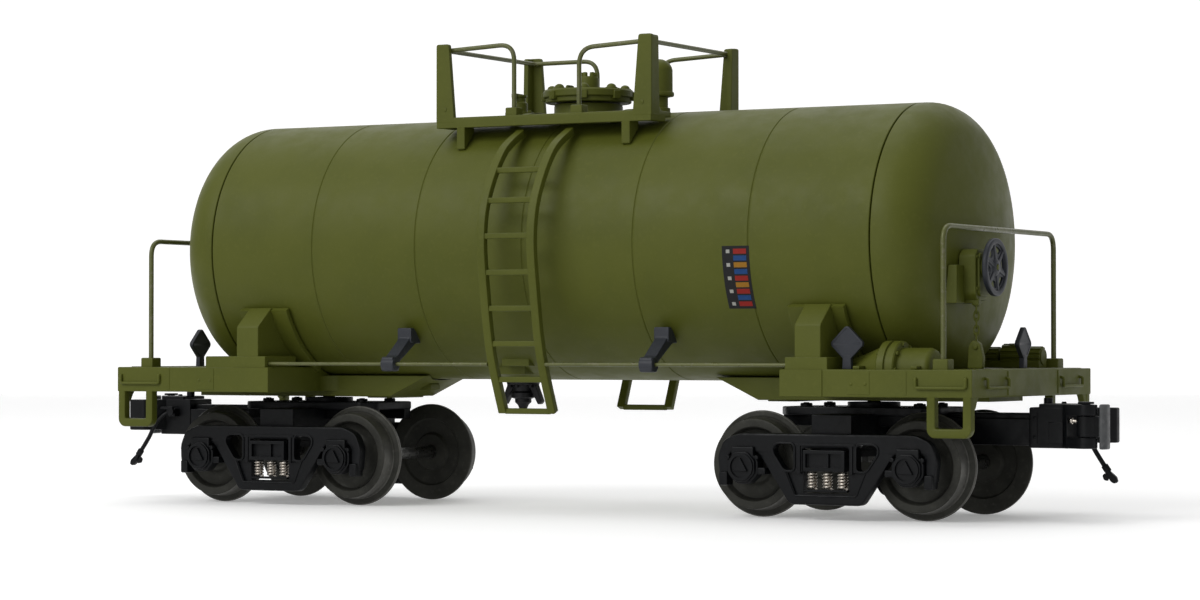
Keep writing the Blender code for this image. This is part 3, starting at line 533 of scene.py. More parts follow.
def head_outline(extra=0.0, knuckle_steps=14, crown_steps=14):
    """The outside of the dished end as (radius, height along the wagon), from its rim to its centre."""
    radius = TANK_RADIUS + extra
    knuckle = HEAD_KNUCKLE + extra
    knuckle_radius = radius - knuckle
    knuckle_at = BARREL_END + GAP + HEAD_RIM
    rise = HEAD_END + extra - knuckle_at
    crown = (knuckle_radius ** 2 + rise ** 2 - knuckle ** 2) / (2 * (rise - knuckle))
    crown_at = HEAD_END + extra - crown
    meet = math.degrees(math.atan2(knuckle_at - crown_at, knuckle_radius))
    points = arc((knuckle_radius, knuckle_at), knuckle, 0, meet, knuckle_steps)
    points += arc((0, crown_at), crown, meet, 90, crown_steps)[1:]
    points[-1] = (0, HEAD_END + extra)
    return points


def tank_envelope():
    """The tank's outside grown by the gap, to shape whatever fits against it."""
    profile = head_outline(GAP, 6, 6)[::-1] + [(TANK_RADIUS + GAP, 0), (0, 0)]
    return turned(profile, (0, TANK_AXIS_Z), ALONG_X, 96)


def tank_barrel():
    inner = TANK_RADIUS - TANK_WALL
    ease = 0.12
    ring = [(TANK_RADIUS - ease, BARREL_END), (TANK_RADIUS, BARREL_END - ease)]
    for seam in SEAMS:
        ring += [(TANK_RADIUS, seam + 0.24), (TANK_RADIUS - 0.16, seam + 0.06),
                 (TANK_RADIUS - 0.16, seam - 0.06), (TANK_RADIUS, seam - 0.24)]
    ring += [(TANK_RADIUS, ease - BARREL_END), (TANK_RADIUS - ease, -BARREL_END), (inner, -BARREL_END),
             (inner, BARREL_END)]
    shell = turned(ring, (0, TANK_AXIS_Z), ALONG_X, FINE, ring=True)
    neck_top = COVER_Z - GAP
    neck = turned([(0, CROWN_Z - 2), (NECK_RADIUS + 1.2, CROWN_Z - 2), (NECK_RADIUS + 1.2, CROWN_Z - 0.6),
                   (NECK_RADIUS + 0.35, CROWN_Z + 0.1), (NECK_RADIUS, CROWN_Z + 0.8),
                   (NECK_RADIUS, neck_top - 0.5), (NECK_RADIUS - 0.15, neck_top), (0, neck_top)], steps=72)
    valve_flange = bar((-FITTING_X, 0), 3.2, CROWN_Z - 0.9, CROWN_Z + 1.4, segments=40)
    valve_body = turned([(0, CROWN_Z + 1.2), (2.0, CROWN_Z + 1.2), (1.7, CROWN_Z + 1.9),
                         (1.7, CROWN_Z + 3.4),
                         (1.35, CROWN_Z + 3.8), (1.35, CROWN_Z + 4.6), (1.6, CROWN_Z + 4.8),
                         (1.6, CROWN_Z + 5.2), (0, CROWN_Z + 5.2)], (-FITTING_X, 0), steps=32)
    lever = block((-FITTING_X - 0.4, -3.0, CROWN_Z + 4.4), (-FITTING_X + 0.4, 1.0, CROWN_Z + 5.5))
    bolts = [bar((-FITTING_X + x, y), 0.45, CROWN_Z + 1.2, CROWN_Z + 1.8, segments=6, soft=0.05)
             for x, y in arc((0, 0), 2.55, 0, 300, 5)]
    lower_pad = block((-12.5, -15.4, 30.4), (-5.8, -10.5, 33.0))
    upper_pad = block((-15.0, -12.5, 28.6), (-8.5, -7.5, 31.5))
    return joined(shell, neck, valve_flange, valve_body, lever, *bolts, lower_pad, upper_pad)


def tank_head():
    outer = head_outline()
    inner = [(r * (1 - TANK_WALL / TANK_RADIUS), h - TANK_WALL) for r, h in outer[::-3]]
    spigot = TANK_RADIUS - TANK_WALL - GAP
    rim = BARREL_END + GAP
    low = rim - SPIGOT_LENGTH
    profile = inner + [(spigot - 1.2, low), (spigot, low), (spigot, rim), (TANK_RADIUS - 0.12, rim),
                       (TANK_RADIUS, rim + 0.12)] + outer
    return turned(profile[::-1], (0, TANK_AXIS_Z), ALONG_X, FINE)


def on_tank(x, angle, radius):
    """A point on the tank's near flank, at an angle in degrees below its middle height."""
    a = math.radians(angle)
    return Vector((x, -radius * math.cos(a), TANK_AXIS_Z - radius * math.sin(a))) * MM


def curved_label(left, right, top, bottom, thick):
    """A thin sheet wrapped on the tank's near flank between two places along it and two angles."""
    bm = bmesh.new()
    rows = max(2, round((bottom - top) / 2))
    grids = []
    for radius in (TANK_RADIUS - 0.1, TANK_RADIUS + thick):
        grid = []
        for i in range(rows + 1):
            angle = top + (bottom - top) * i / rows
            grid.append([bm.verts.new(on_tank(x, angle, radius)) for x in (left, right)])
        grids.append(grid)
    inner, outer = grids
    for i in range(rows):
        bm.faces.new((outer[i][0], outer[i + 1][0], outer[i + 1][1], outer[i][1]))
        bm.faces.new((inner[i][0], inner[i][1], inner[i + 1][1], inner[i + 1][0]))
        bm.faces.new((inner[i][0], inner[i + 1][0], outer[i + 1][0], outer[i][0]))
        bm.faces.new((outer[i][1], outer[i + 1][1], inner[i + 1][1], inner[i][1]))
    bm.faces.new((inner[0][0], outer[0][0], outer[0][1], inner[0][1]))
    bm.faces.new((outer[rows][0], inner[rows][0], inner[rows][1], outer[rows][1]))
    bmesh.ops.recalc_face_normals(bm, faces=bm.faces)
    return from_bmesh(bm)


def add_label_panel():
    """A generic panel of coloured bars on the near flank."""
    left, right, top, bottom = 46.6, 52.6, 2.2, 28.6
    show("tank_barrel", finished(curved_label(left, right, top, bottom, 0.05), "panel_black"),
         stands_for=False, name="bar_panel_backing")
    colours = ("panel_red", "panel_blue", "panel_amber", "panel_blue", "panel_red", "panel_amber",
               "panel_red", "panel_blue", "panel_red")
    step = (bottom - top - 1.6) / len(colours)
    for i, colour in enumerate(colours):
        start = top + 0.8 + step * i + 0.35
        bars = curved_label(left + 2.5, right - 0.6, start, start + step - 0.7, 0.09)
        show("tank_barrel", finished(bars, colour), stands_for=False, name=f"bar_panel_stripe_{i}")
    for i in range(0, len(colours), 2):
        start = top + 0.8 + step * i + 0.35
        tick = curved_label(left + 0.9, left + 1.7, start + 0.3, start + step - 1.0, 0.09)
        show("tank_barrel", finished(tick, "panel_white"), stands_for=False, name=f"bar_panel_tick_{i}")


def manway_cover():
    lower = turned([(0, COVER_Z), (9.1, COVER_Z), (9.25, COVER_Z + 0.15), (9.25, COVER_Z + 1.2),
                    (0, COVER_Z + 1.2)],
                   steps=96)
    upper = turned([(0, COVER_Z + 1.05), (COVER_RADIUS - 0.2, COVER_Z + 1.05),
                    (COVER_RADIUS, COVER_Z + 1.25),
                    (COVER_RADIUS, COVER_Z + 2.45), (COVER_RADIUS - 0.3, COVER_Z + 2.8),
                    (6.2, COVER_Z + 2.8), (5.9, COVER_Z + 2.6), (3.2, COVER_Z + 2.75), (0, COVER_Z + 2.75)],
                   steps=96)
    bolts = []
    for i, (x, y) in enumerate(arc((0, 0), 7.9, 22.5, 337.5, 7)):
        bolts.append(bar((x, y), 1.3, COVER_Z + 2.6, COVER_Z + 3.1, segments=24, soft=0.1))
        bolts.append(dome((x, y), 1.05, 0.85, COVER_Z + 3.05))
        lug = block((COVER_RADIUS - 0.9, -0.9, COVER_Z + 0.5), (COVER_RADIUS + 0.35, 0.9, COVER_Z + 2.3))
        bolts.append(moved(lug, Matrix.Rotation(math.radians(22.5 + 45 * i), 4, "Z")))
    vent = turned([(0, COVER_Z + 2.6), (2.6, COVER_Z + 2.6), (2.6, COVER_Z + 3.2), (2.2, COVER_Z + 3.4),
                   (2.2, COVER_Z + 5.4), (1.95, COVER_Z + 5.8), (0, COVER_Z + 5.8)], steps=40)
    teeth = [block((-0.4, 1.0, COVER_Z + 5.6), (0.4, 1.95, COVER_Z + 6.7)) for _ in range(6)]
    teeth = [moved(tooth, Matrix.Rotation(math.radians(60 * i), 4, "Z")) for i, tooth in enumerate(teeth)]
    handle = wire(rounded([(-4.6, -1.4, COVER_Z + 2.5), (-4.6, -1.4, COVER_Z + 3.9),
                           (-4.6, 1.4, COVER_Z + 3.9),
                           (-4.6, 1.4, COVER_Z + 2.5)], 0.5, 4), 0.28)
    return joined(lower, upper, *bolts, vent, *teeth, handle)


def relief_valve():
    base = CROWN_Z + GAP
    cap = [(0, 95.6)] + [(2.9 * math.sin(a), 92.9 + 2.7 * math.cos(a)) for a in (0.3, 0.6, 0.9, 1.2, 1.45)]
    profile = cap + [(2.9, 88.6), (3.15, 88.45), (3.2, 88.2), (3.2, 87.8), (3.05, 87.6), (2.0, 87.4),
                     (1.9, 87.2), (1.9, base + 1.0), (2.4, base + 0.8), (2.4, base), (0, base)]
    return turned(profile, (FITTING_X, 0), steps=56)


def outlet_valve():
    profile = [(0, 27.1), (3.4, 27.1), (3.6, 26.9), (3.6, 26.5), (3.4, 26.3), (2.3, 26.2), (2.2, 26.0),
               (2.2, 24.9), (2.6, 24.5), (2.6, 23.6), (2.4, 23.4), (1.8, 23.2), (1.8, 22.5), (1.2, 21.9),
               (0.8, 21.0), (0, 20.75)]
    body = turned(profile, (OUTLET_X, 0), steps=40)
    arm = [(OUTLET_X + x, z) for x, z in ((1.6, 26.6), (3.4, 26.6), (5.0, 22.6), (4.2, 21.9), (2.9, 24.2))]
    other = [(2 * OUTLET_X - x, z) for x, z in arm[::-1]]
    arms = [plate(eased(shape, 0.4), -0.9, 0.9, ALONG_Y) for shape in (arm, other)]
    bolts = [bar((OUTLET_X + x, y), 0.5, 25.7, 26.5, segments=6, soft=0.06)
             for x, y in arc((0, 0), 3.0, 30, 330, 5)]
    return joined(body, *arms, *bolts)


# ---------------------------------------------------------------- walkway and ladders

def walkway_corner():
    """What stands at one corner of the walkway, at +X, +Y: its end beam, leg, post, socket and deck ribs."""
    bottom = WALK_TOP - WALK_DEPTH
    end = block((WALK_X - 1.5, 13.6, bottom + 0.06), (WALK_X - 0.04, WALK_Y - 0.3, WALK_TOP - 0.5), 0.15)
    leg = plate(eased([(16.0, 79.8), (18.6, 77.4), (19.2, 76.4), (WALK_Y - 0.05, 76.4),
                       (WALK_Y - 0.05, 82.6),
                       (16.0, 82.6)], 0.5), 19.0, 21.0, ALONG_X, soft=0.2)
    face_outline = [(WALK_X, 82.0), (WALK_X, POST_TOP), (WALK_X - POST_HEAD_WIDTH, POST_TOP),
                    (WALK_X - POST_FOOT_WIDTH, 82.0)]
    face = plate(eased(face_outline, 0.5), -WALK_Y, POST_THICK - WALK_Y, ALONG_Y, soft=0.2)
    side_outline = [(WALK_Y - POST_DEPTH, 82.1), (WALK_Y - 0.25, 82.1), (WALK_Y - 0.25, POST_TOP - 0.15),
                    (WALK_Y - POST_DEPTH + 0.5, POST_TOP - 0.15)]
    side = plate(eased(side_outline, 0.5), WALK_X - POST_THICK, WALK_X - 0.02, ALONG_X, soft=0.2)
    gusset = plate([(WALK_Y - POST_DEPTH - 1.6, WALK_TOP - 0.3), (WALK_Y - 0.6, WALK_TOP - 0.3),
                    (WALK_Y - 0.6, WALK_TOP + 2.6), (WALK_Y - POST_DEPTH + 0.2, WALK_TOP + 1.4)],
                   WALK_X - 1.0, WALK_X - 0.25, ALONG_X, soft=0.1)
    socket = block((STANCHION_X - 1.4, 16.6, WALK_TOP - 0.4), (STANCHION_X + 1.4, 19.4, WALK_TOP + 1.7),
                   0.25)
    hole = bar((STANCHION_X, 18.0), RAIL_RADIUS + 0.12, WALK_TOP + 0.2, WALK_TOP + 3, soft=0.01)
    bolt = bar((WALK_X - 2.2, 85.0), 0.5, -WALK_Y - 0.12, 0.3 - WALK_Y, ALONG_Y, 6, 0.06)
    ribs = [block((x - 0.16, DECK_INNER_Y + 0.6, WALK_TOP - 0.2), (x + 0.16, WALK_Y - 2.2, WALK_TOP + 0.16),
                  0.06)
            for x in (1.0, 2.3, 3.6, 4.9, 10.6, 11.9, 13.2, 14.5, 15.8, 17.1, 18.4, 19.7, 21.0)]
    return [end, leg, face, side, gusset, cut(socket, hole), bolt, *ribs]


def walkway_strap(x):
    """A thin strap over the crown of the tank that ties the two deck strips together."""
    inner = arc((0, TANK_AXIS_Z), TANK_RADIUS + GAP + 0.05, 65, 115, 30)
    outer = arc((0, TANK_AXIS_Z), TANK_RADIUS + GAP + 0.85, 115, 65, 30)
    return plate(inner + outer, x - 1, x + 1, ALONG_X, soft=0.1)


def walkway_frame():
    corner = walkway_corner()
    corner += [mirrored(piece, 0) for piece in corner]
    deck = block((0.06 - WALK_X, DECK_INNER_Y, WALK_TOP - 1.15), (WALK_X - 0.06, WALK_Y - 0.1, WALK_TOP),
                 0.15)
    edge = block((0.1 - WALK_X, WALK_Y - 1.6, WALK_TOP - WALK_DEPTH),
                 (WALK_X - 0.1, WALK_Y - 0.03, WALK_TOP - 0.3),
                 0.15)
    side = [deck, edge, *corner]
    side += [mirrored(piece, 1) for piece in side]
    return joined(*side, walkway_strap(STRAP_X), walkway_strap(-STRAP_X))


def walkway_rail(near_lift, far_lift):
    """One rail loop, from its near stanchion round two posts to its far stanchion."""
    foot = WALK_TOP + 0.5
    at = WALK_X - POST_THICK - RAIL_RADIUS - 0.05
    out = WALK_Y - POST_THICK - RAIL_RADIUS - 0.05
    near = rounded([(STANCHION_X, -18.0, foot), (STANCHION_X, -18.0, RAIL_Z + near_lift),
                    (at, -out, RAIL_Z)],
                   3.6)
    far = rounded([(at, out, RAIL_Z), (STANCHION_X, 18.0, RAIL_Z + far_lift), (STANCHION_X, 18.0, foot)],
                  3.6)
    corners = rounded([near[-2], near[-1], far[0], far[1]], 1.2, 5)
    return wire(near[:-1] + corners[1:-1] + far[1:], RAIL_RADIUS, 5)


def stile_curve():
    """The outer edge of a ladder's stile on the near side, as (distance from the wagon's middle, height)."""
    return smooth([(18.6, 80.3), (26.6, 75.5), (33.0, 66.0), (35.0, 57.0), (33.8, 46.0), (31.2, 33.0),
                   (26.2, 20.6)], 8)


def offset_inwards(path, depth):
    """The path moved square to itself towards the tank."""
    result = []
    for i, (y, z) in enumerate(path):
        before = path[max(i - 1, 0)]
        after = path[min(i + 1, len(path) - 1)]
        along = Vector((after[0] - before[0], after[1] - before[1])).normalized()
        result.append((y + along.y * depth, z - along.x * depth))
    return result


def ladder():
    outer = stile_curve()
    inner = offset_inwards(outer, STILE_DEPTH)
    outline = [(-y, z) for y, z in outer + inner[::-1]]
    pieces = []
    for side in (-1, 1):
        edges = sorted((side * (LADDER_HALF_WIDTH - STILE_THICK), side * LADDER_HALF_WIDTH))
        pieces.append(plate(outline, *edges, ALONG_X, soft=0.28))
    middle = offset_inwards(outer, STILE_DEPTH / 2)
    half = LADDER_HALF_WIDTH - STILE_THICK + 0.4
    for height in RUNG_HEIGHTS:
        above, below = next((a, b) for a, b in zip(middle, middle[1:]) if a[1] >= height >= b[1])
        share = (above[1] - height) / (above[1] - below[1])
        y = above[0] + (below[0] - above[0]) * share
        pieces.append(block((-half, -y - 0.55, height - 0.6), (half, -y + 0.55, height + 0.6), 0.22))
    return joined(*pieces)


def side_handrail():
    start = LADDER_HALF_WIDTH + 0.05
    end = PLATFORM_IN + 2.0
    return wire([(start, -SIDE_RAIL_Y, SIDE_RAIL_Z), (end, -SIDE_RAIL_Y, SIDE_RAIL_Z)], SIDE_RAIL_RADIUS)


def rail_bracket():
    outline = [(-22.8, 38.4), (-24.8, 38.4), (-24.8, 36.4), (-29.9, 32.4), (-31.7, 32.4), (-31.7, 29.3),
               (-28.9, 29.3), (-28.9, 31.2), (-22.4, 35.2), (-20.2, 35.2)]
    arm = plate(eased(outline, 0.7, 4), -1.45, 1.45, ALONG_X, soft=0.3)
    foot = bar((-30.3, 30.85), 1.55, -1.6, 1.6, ALONG_X, 32, 0.3)
    head = block((-1.75, -24.9, 35.4), (1.75, -23.4, 38.5), 0.3)
    shape = cut(joined(arm, head, foot), tank_envelope())
    return cut(shape, bar((-SIDE_RAIL_Y, SIDE_RAIL_Z), SIDE_RAIL_RADIUS + 0.05, -3, 3, ALONG_X, 24, 0.01))


# ---------------------------------------------------------------- end platforms

def drop_grab(first, last, drop, out):
    """A grab iron bent from wire: out from the beam, down, along, up and back in."""
    down = Vector((0, 0, -drop))
    path = [first, first + out, first + out + down, last + out + down, last + out, last]
    return wire(rounded(path, 0.5, 4), GRAB_RADIUS)


def step_stirrup():
    """The step under the near corner, with its gusset."""
    outer = [(92.4, SILL_BOTTOM + 0.6), (92.4, 18.0), (93.4, 16.9), (100.7, 16.9), (101.7, 18.0),
             (101.7, SILL_BOTTOM + 0.6)]
    inner = [(99.9, SILL_BOTTOM + 0.6), (99.9, 18.7), (94.2, 18.7), (94.2, SILL_BOTTOM + 0.6)]
    edge = PLATFORM_HALF_WIDTH
    gusset = [(0.15 - edge, SILL_BOTTOM + 0.4), (0.15 - edge, 22.0), (1.6 - edge, 21.8), (2.8 - edge, 22.6),
              (3.6 - edge, 24.0), (4.6 - edge, SILL_BOTTOM + 0.4)]
    rounded_step = [tuple(p) for p in rounded(outer, 1.4)] + [tuple(p) for p in rounded(inner, 0.4, 3)]
    return [plate(rounded_step, edge - 2.1, edge - 0.05, ALONG_Y, soft=0.3),
            plate(gusset, PLATFORM_OUT - 1.7, PLATFORM_OUT - 0.3, ALONG_X, soft=0.25)]


def saddle():
    """The saddle under the near flank of the tank: a web and a plate wrapped on the tank."""
    edge = PLATFORM_HALF_WIDTH - 0.35
    web = [(-8, 28.9), (-edge, 28.9), (-edge, 38.5), (-edge + 0.3, 39.1), (-26.6, 42.9), (-22.0, 42.9),
           (-8, 36)]
    inner = arc((0, TANK_AXIS_Z), TANK_RADIUS + GAP, 206.5, 243.0, 20)
    outer = arc((0, TANK_AXIS_Z), TANK_RADIUS + GAP + 1.3, 243.0, 206.5, 20)
    return [plate(web, 64.2, 69.9, ALONG_X, soft=0.3), plate(inner + outer, 60.2, 72.6, ALONG_X, soft=0.25)]


def near_side_trim():
    """What the near half of a platform carries: saddle, step, sockets, strips, rivets and grab irons."""
    edge = PLATFORM_HALF_WIDTH
    fillet_at = (PLATFORM_IN - 3.2, -CENTRE_SILL_HALF - 3.2)
    fillet = plate([(PLATFORM_IN + 0.4, -CENTRE_SILL_HALF + 0.4), (fillet_at[0], -CENTRE_SILL_HALF + 0.4)]
                   + arc(fillet_at, 3.2, 90, 0, 10) + [(PLATFORM_IN + 0.4, fillet_at[1])],
                   SILL_BOTTOM + 0.1, 28.1, soft=0.02)
    socket = block((HANDRAIL_X - 1.6, -HANDRAIL_Y - 1.7, SILL_TOP - 0.5),
                   (HANDRAIL_X + 1.6, -HANDRAIL_Y + 1.6, 32.1), 0.3)
    hole = bar((HANDRAIL_X, -HANDRAIL_Y), HANDRAIL_RADIUS + 0.1, 30.4, 33, soft=0.01)
    pieces = [fillet, cut(socket, hole)]
    for low, high, proud, top, bottom in ((61.22, 70.4, 0.2, SILL_TOP - 0.06, SILL_BOTTOM + 0.06),
                                          (75.7, 80.5, 0.1, SILL_TOP - 0.3, SILL_BOTTOM + 0.5),
                                          (87.6, 88.3, 0.1, SILL_TOP - 0.3, SILL_BOTTOM + 0.5)):
        pieces.append(block((low, -edge - proud, bottom), (high, 0.5 - edge, top), 0.08))
    pieces += [dome((x, 27.2), 0.36, 0.14, edge + 0.1, ALONG_Y) for x in (76.6, 79.6)]
    pieces.append(block((100.7, -13.9, SILL_BOTTOM + 0.3), (PLATFORM_OUT + 0.18, -12.9, SILL_TOP - 0.3),
                        0.1))
    side_grab = [Vector((x, 0.3 - edge, 28.3)) for x in (90.3, 100.7)]
    end_grab = [Vector((PLATFORM_OUT - 0.3, y, 28.3)) for y in (-25.4, -14.6)]
    pieces.append(drop_grab(*side_grab, 1.8, Vector((0, -0.62, 0))))
    pieces.append(drop_grab(*end_grab, 1.8, Vector((0.95, 0, 0))))
    return pieces + saddle() + step_stirrup()


def underframe(reservoir_opening):
    """One end platform, modelled at the hand-brake end."""
    edge = PLATFORM_HALF_WIDTH
    inside = edge - SILL_THICK
    deck_bottom = SILL_TOP - DECK_THICK
    tray = block((PLATFORM_IN, -edge, SILL_BOTTOM), (PLATFORM_OUT, edge, SILL_TOP), 0.22)
    hollow = block((PLATFORM_IN + SILL_THICK, -inside, SILL_BOTTOM - 1),
                   (PLATFORM_OUT - SILL_THICK, inside, deck_bottom), 0.3)
    bearers = [block((x - 0.7, -inside - 0.2, SILL_BOTTOM + 0.8),
                     (x + 0.7, inside + 0.2, deck_bottom + 0.3))
               for x in (74.0, 86.0)]
    centre_sill = plate([(35.2, 28.2), (45.0, CENTRE_SILL_BOTTOM), (96.0, CENTRE_SILL_BOTTOM), (96.0, 29.0),
                         (PLATFORM_IN + 1, 29.0), (PLATFORM_IN + 1, 28.2)],
                        -CENTRE_SILL_HALF, CENTRE_SILL_HALF, ALONG_Y, soft=0.25)
    pads = [block((46.0, -6.5, CENTRE_SILL_BOTTOM - 0.3), (52.5, 6.5, CENTRE_SILL_BOTTOM + 0.5)),
            block((38.8, -2.0, 25.0), (42.4, 2.0, 26.4), 0.3),
            block((62.2, 0.12 - edge, SILL_TOP - 0.5), (71.4, -20, 32.45), 0.25),
            block((62.2, 20, SILL_TOP - 0.5), (78.0, edge - 0.12, 32.45), 0.25)]
    treads = [block((x - 0.2, -27.5, SILL_TOP - 0.2), (x + 0.2, 27.5, SILL_TOP + 0.12), 0.06)
              for x in (98.9, 99.7, 100.5, 101.2)]
    near = near_side_trim()
    far = [mirrored(piece, 1) for piece in near]
    shape = joined(cut(tray, hollow), *bearers, centre_sill, *pads, *treads, *near, *far)
    cutters = [tank_envelope()]
    for side in (-1, 1):
        cutters.append(bar((side * SIDE_RAIL_Y, SIDE_RAIL_Z), SIDE_RAIL_RADIUS + 0.1, 59, 63.7, ALONG_X,
                           soft=0.01))
    if reservoir_opening:
        long_cut = block((73.0, RESERVOIR_Y - 5, deck_bottom - 1), (91.8, RESERVOIR_Y + 5, SILL_TOP + 1),
                         0.02)
        wide_cut = block((79.8, RESERVOIR_Y - 6, deck_bottom - 1.1),
                         (85.2, RESERVOIR_Y + 6, SILL_TOP + 1.1), 0.02)
        cutters.append(joined(long_cut, wide_cut))
    return cut(shape, *cutters)


def end_handrail():
    foot = 30.8
    path = rounded([(HANDRAIL_X, -HANDRAIL_Y, foot), (HANDRAIL_X, -HANDRAIL_Y, HANDRAIL_TOP),
                    (HANDRAIL_X, HANDRAIL_Y, HANDRAIL_TOP), (HANDRAIL_X, HANDRAIL_Y, foot)], 3.4, 10)
    return wire(path, HANDRAIL_RADIUS, 5)


def brake_reservoir():
    axis_z = SILL_TOP
    profile = [(0, 73.6), (1.9, 73.6), (2.3, 74.1), (2.5, 74.9), (4.6, 80.5), (5.35, 80.6), (5.6, 80.85),
               (5.6, 82.2), (5.2, 82.35), (5.2, 82.65), (5.6, 82.8), (5.6, 84.15), (5.35, 84.4),
               (4.25, 84.5),
               (4.2, 90.2), (3.9, 90.9), (3.2, 91.3), (0, 91.4)]
    body = turned(profile[::-1], (RESERVOIR_Y, axis_z), ALONG_X, 72)
    feet = [block((x, RESERVOIR_Y - 6.3, SILL_TOP + 0.05), (x + 1.4, RESERVOIR_Y + 6.3, SILL_TOP + 0.7))
            for x in (76.2, 88.4)]
    bolts = []
    for y, z in arc((RESERVOIR_Y, axis_z), 4.9, 20, 340, 8):
        bolts.append(bar((y, z), 0.4, 80.2, 84.8, ALONG_X, 6, 0.06))
    return joined(body, *feet, *bolts)


def ribbed(centre, radius, start, end, teeth):
    """A drum along X with lengthwise ribs round it."""
    outline = []
    for i in range(teeth):
        for share, r in ((-0.30, radius - 0.28), (-0.22, radius), (0.22, radius), (0.30, radius - 0.28)):
            a = 2 * math.pi * (i + share) / teeth
            outline.append((centre[0] + r * math.cos(a), centre[1] + r * math.sin(a)))
    return plate(outline, start, end, ALONG_X, soft=0.1)


def brake_control_valve():
    y = CONTROL_VALVE_Y
    base = block((81.8, y - 2.2, SILL_TOP + 0.05), (94.4, y + 2.2, SILL_TOP + 1.6), 0.25)
    lobes = []
    for z, radius, start, end in ((32.4, 2.1, 81.8, 85.0), (32.6, 2.55, 85.8, 90.4),
                                  (32.4, 2.2, 91.0, 94.4)):
        lobes.append(ribbed((y, z), radius, start, end, 12))
        lobes.append(bar((y, z), radius - 0.5, start - 0.25, end + 0.25, ALONG_X, 24))
    rod = bar((y, 32.4), 1.2, 82.5, 93.5, ALONG_X, 24)
    cap = turned([(0, 34.9), (1.3, 34.9), (1.4, 35.05), (1.0, 35.2), (0, 35.2)], (88.1, y), steps=24)
    return joined(base, rod, *lobes, cap)


def placard():
    """A diamond board on a short stem, with its face square to Y and its foot at z = 0."""
    low = 1.55
    half = 3.4
    point = 0.35
    middle = low + half
    right = [(half, middle - point), (half, middle + point), (point, low + 2 * half)]
    diamond = [(point, low)] + right + [(-x, z) for x, z in right[::-1]] + [(-point, low)]
    board = plate(eased(diamond, 0.35), -0.5, 0.5, ALONG_Y, soft=0.12)
    pocket = plate(eased(inset(diamond, 0.4), 0.25), 0.42, 1.2, ALONG_Y, soft=0.02)
    stem = plate([(1.0, 0), (0.85, low + 1.2), (-0.85, low + 1.2), (-1.0, 0)], -0.54, 0.54, ALONG_Y,
                 soft=0.15)
    return joined(cut(board, pocket, mirrored(pocket, 1)), stem)


# ---------------------------------------------------------------- hand brake

def hand_brake_housing():
    y = BRAKE_WHEEL_Y
    case_outline = [(y - 3.4, 44.9), (y - 2.4, 43.6), (y + 2.2, 43.6), (y + 3.4, 45.4), (y + 3.4, 52.6),
                    (y + 2.2, 53.8), (y - 2.2, 53.8), (y - 3.4, 52.6)]
    case = plate(eased(case_outline, 0.5), 86, 94.9, ALONG_X, soft=0.35)
    lid = plate(eased(inset(case_outline, 0.8), 0.5), 94.6, 95.4, ALONG_X, soft=0.2)
    mount = block((84, y - 7.0, 43.0), (92.4, y - 3.0, 50.6), 0.25)
    apron = block((86, y - 2.4, 43.0), (94.2, y + 2.0, 45.0), 0.25)
    boss = turned([(0, 95.0), (2.3, 95.0), (2.1, 95.6), (1.5, 95.8), (1.5, 96.6), (1.35, 96.7), (0, 96.7)],
                  (y, BRAKE_WHEEL_Z), ALONG_X, 40)
    shaft = bar((y, BRAKE_WHEEL_Z), 0.6, 96.4, 98.3, ALONG_X, 16)
    screws = [dome((y + dy, z), 0.4, 0.3, 94.9, ALONG_X)
              for dy, z in ((-2.7, 46.0), (2.7, 46.4), (-2.7, 52.2), (2.7, 52.2))]
    crank = plate(eased([(92.6, 30.1), (95.8, 30.1), (95.9, 32.4), (95.2, 35.2), (93.9, 35.9),
                         (92.9, 34.8)], 0.5),
                  -(y - 0.8), -(y - 2.4), ALONG_Y, soft=0.25)
    pin = bar((94.4, 34.4), 0.5, -(y - 0.4), -(y - 2.8), ALONG_Y, 16)
    links = []
    for i in range(6):
        z = 43.4 - 1.42 * i
        loop = turned([(0.5 + 0.19 * math.cos(a), 0.19 * math.sin(a)) for a in
                       [math.radians(45 * k) for k in range(8)]], steps=20, ring=True)
        facing = Matrix.Rotation(math.radians(90 * (i % 2) + 20), 4, "Z")
        facing = facing @ Matrix.Rotation(math.pi / 2, 4, "X")
        tall = Matrix.Diagonal((1, 1, 1.75, 1))
        links.append(moved(loop, shift(94.3, y - 1.6, z) @ tall @ facing))
    hanger = block((93.6, y - 2.3, 42.6), (95.0, y - 0.9, 44.2), 0.2)
    body = cut(joined(case, lid, mount, apron, boss, shaft, *screws, hanger), tank_envelope())
    return joined(body, *links, crank, pin)


def hand_brake_wheel():
    """The brake wheel, turned about its own middle."""
    rim_in = BRAKE_WHEEL_RADIUS - 1.15
    rim_profile = eased([(BRAKE_WHEEL_RADIUS, 1.15), (BRAKE_WHEEL_RADIUS, 0.1), (rim_in, 0.1),
                         (rim_in, 1.15)], 0.3)
    rim = turned(rim_profile, axis=ALONG_X, steps=72, ring=True)
    hub = turned([(0, 0), (1.9, 0), (1.9, 0.7), (1.6, 1.0), (1.3, 1.2), (0, 1.2)], axis=ALONG_X, steps=32)
    web = bar((0, 0), rim_in + 0.3, 0.35, 0.8, ALONG_X, 72, 0.05)
    spokes = []
    openings = []
    for i in range(6):
        spin = Matrix.Rotation(math.radians(60 * i + 12), 4, "X")
        spokes.append(moved(block((0.2, -0.42, 1.2), (1.0, 0.42, rim_in + 0.4)), spin))
        hole = arc((0, 0), rim_in - 0.45, 70, 110, 8) + [(-0.5, 2.8), (0.5, 2.8)]
        cutter = plate(eased(hole, 0.3), -1, 2, ALONG_X, soft=0.01)
        openings.append(moved(cutter, Matrix.Rotation(math.radians(60 * i + 42), 4, "X")))
    wheel_shape = joined(rim, hub, cut(web, *openings), *spokes)
    return cut(wheel_shape, bar((0, 0), 0.72, -1, 2, ALONG_X, 20, 0.01))


# ---------------------------------------------------------------- trucks

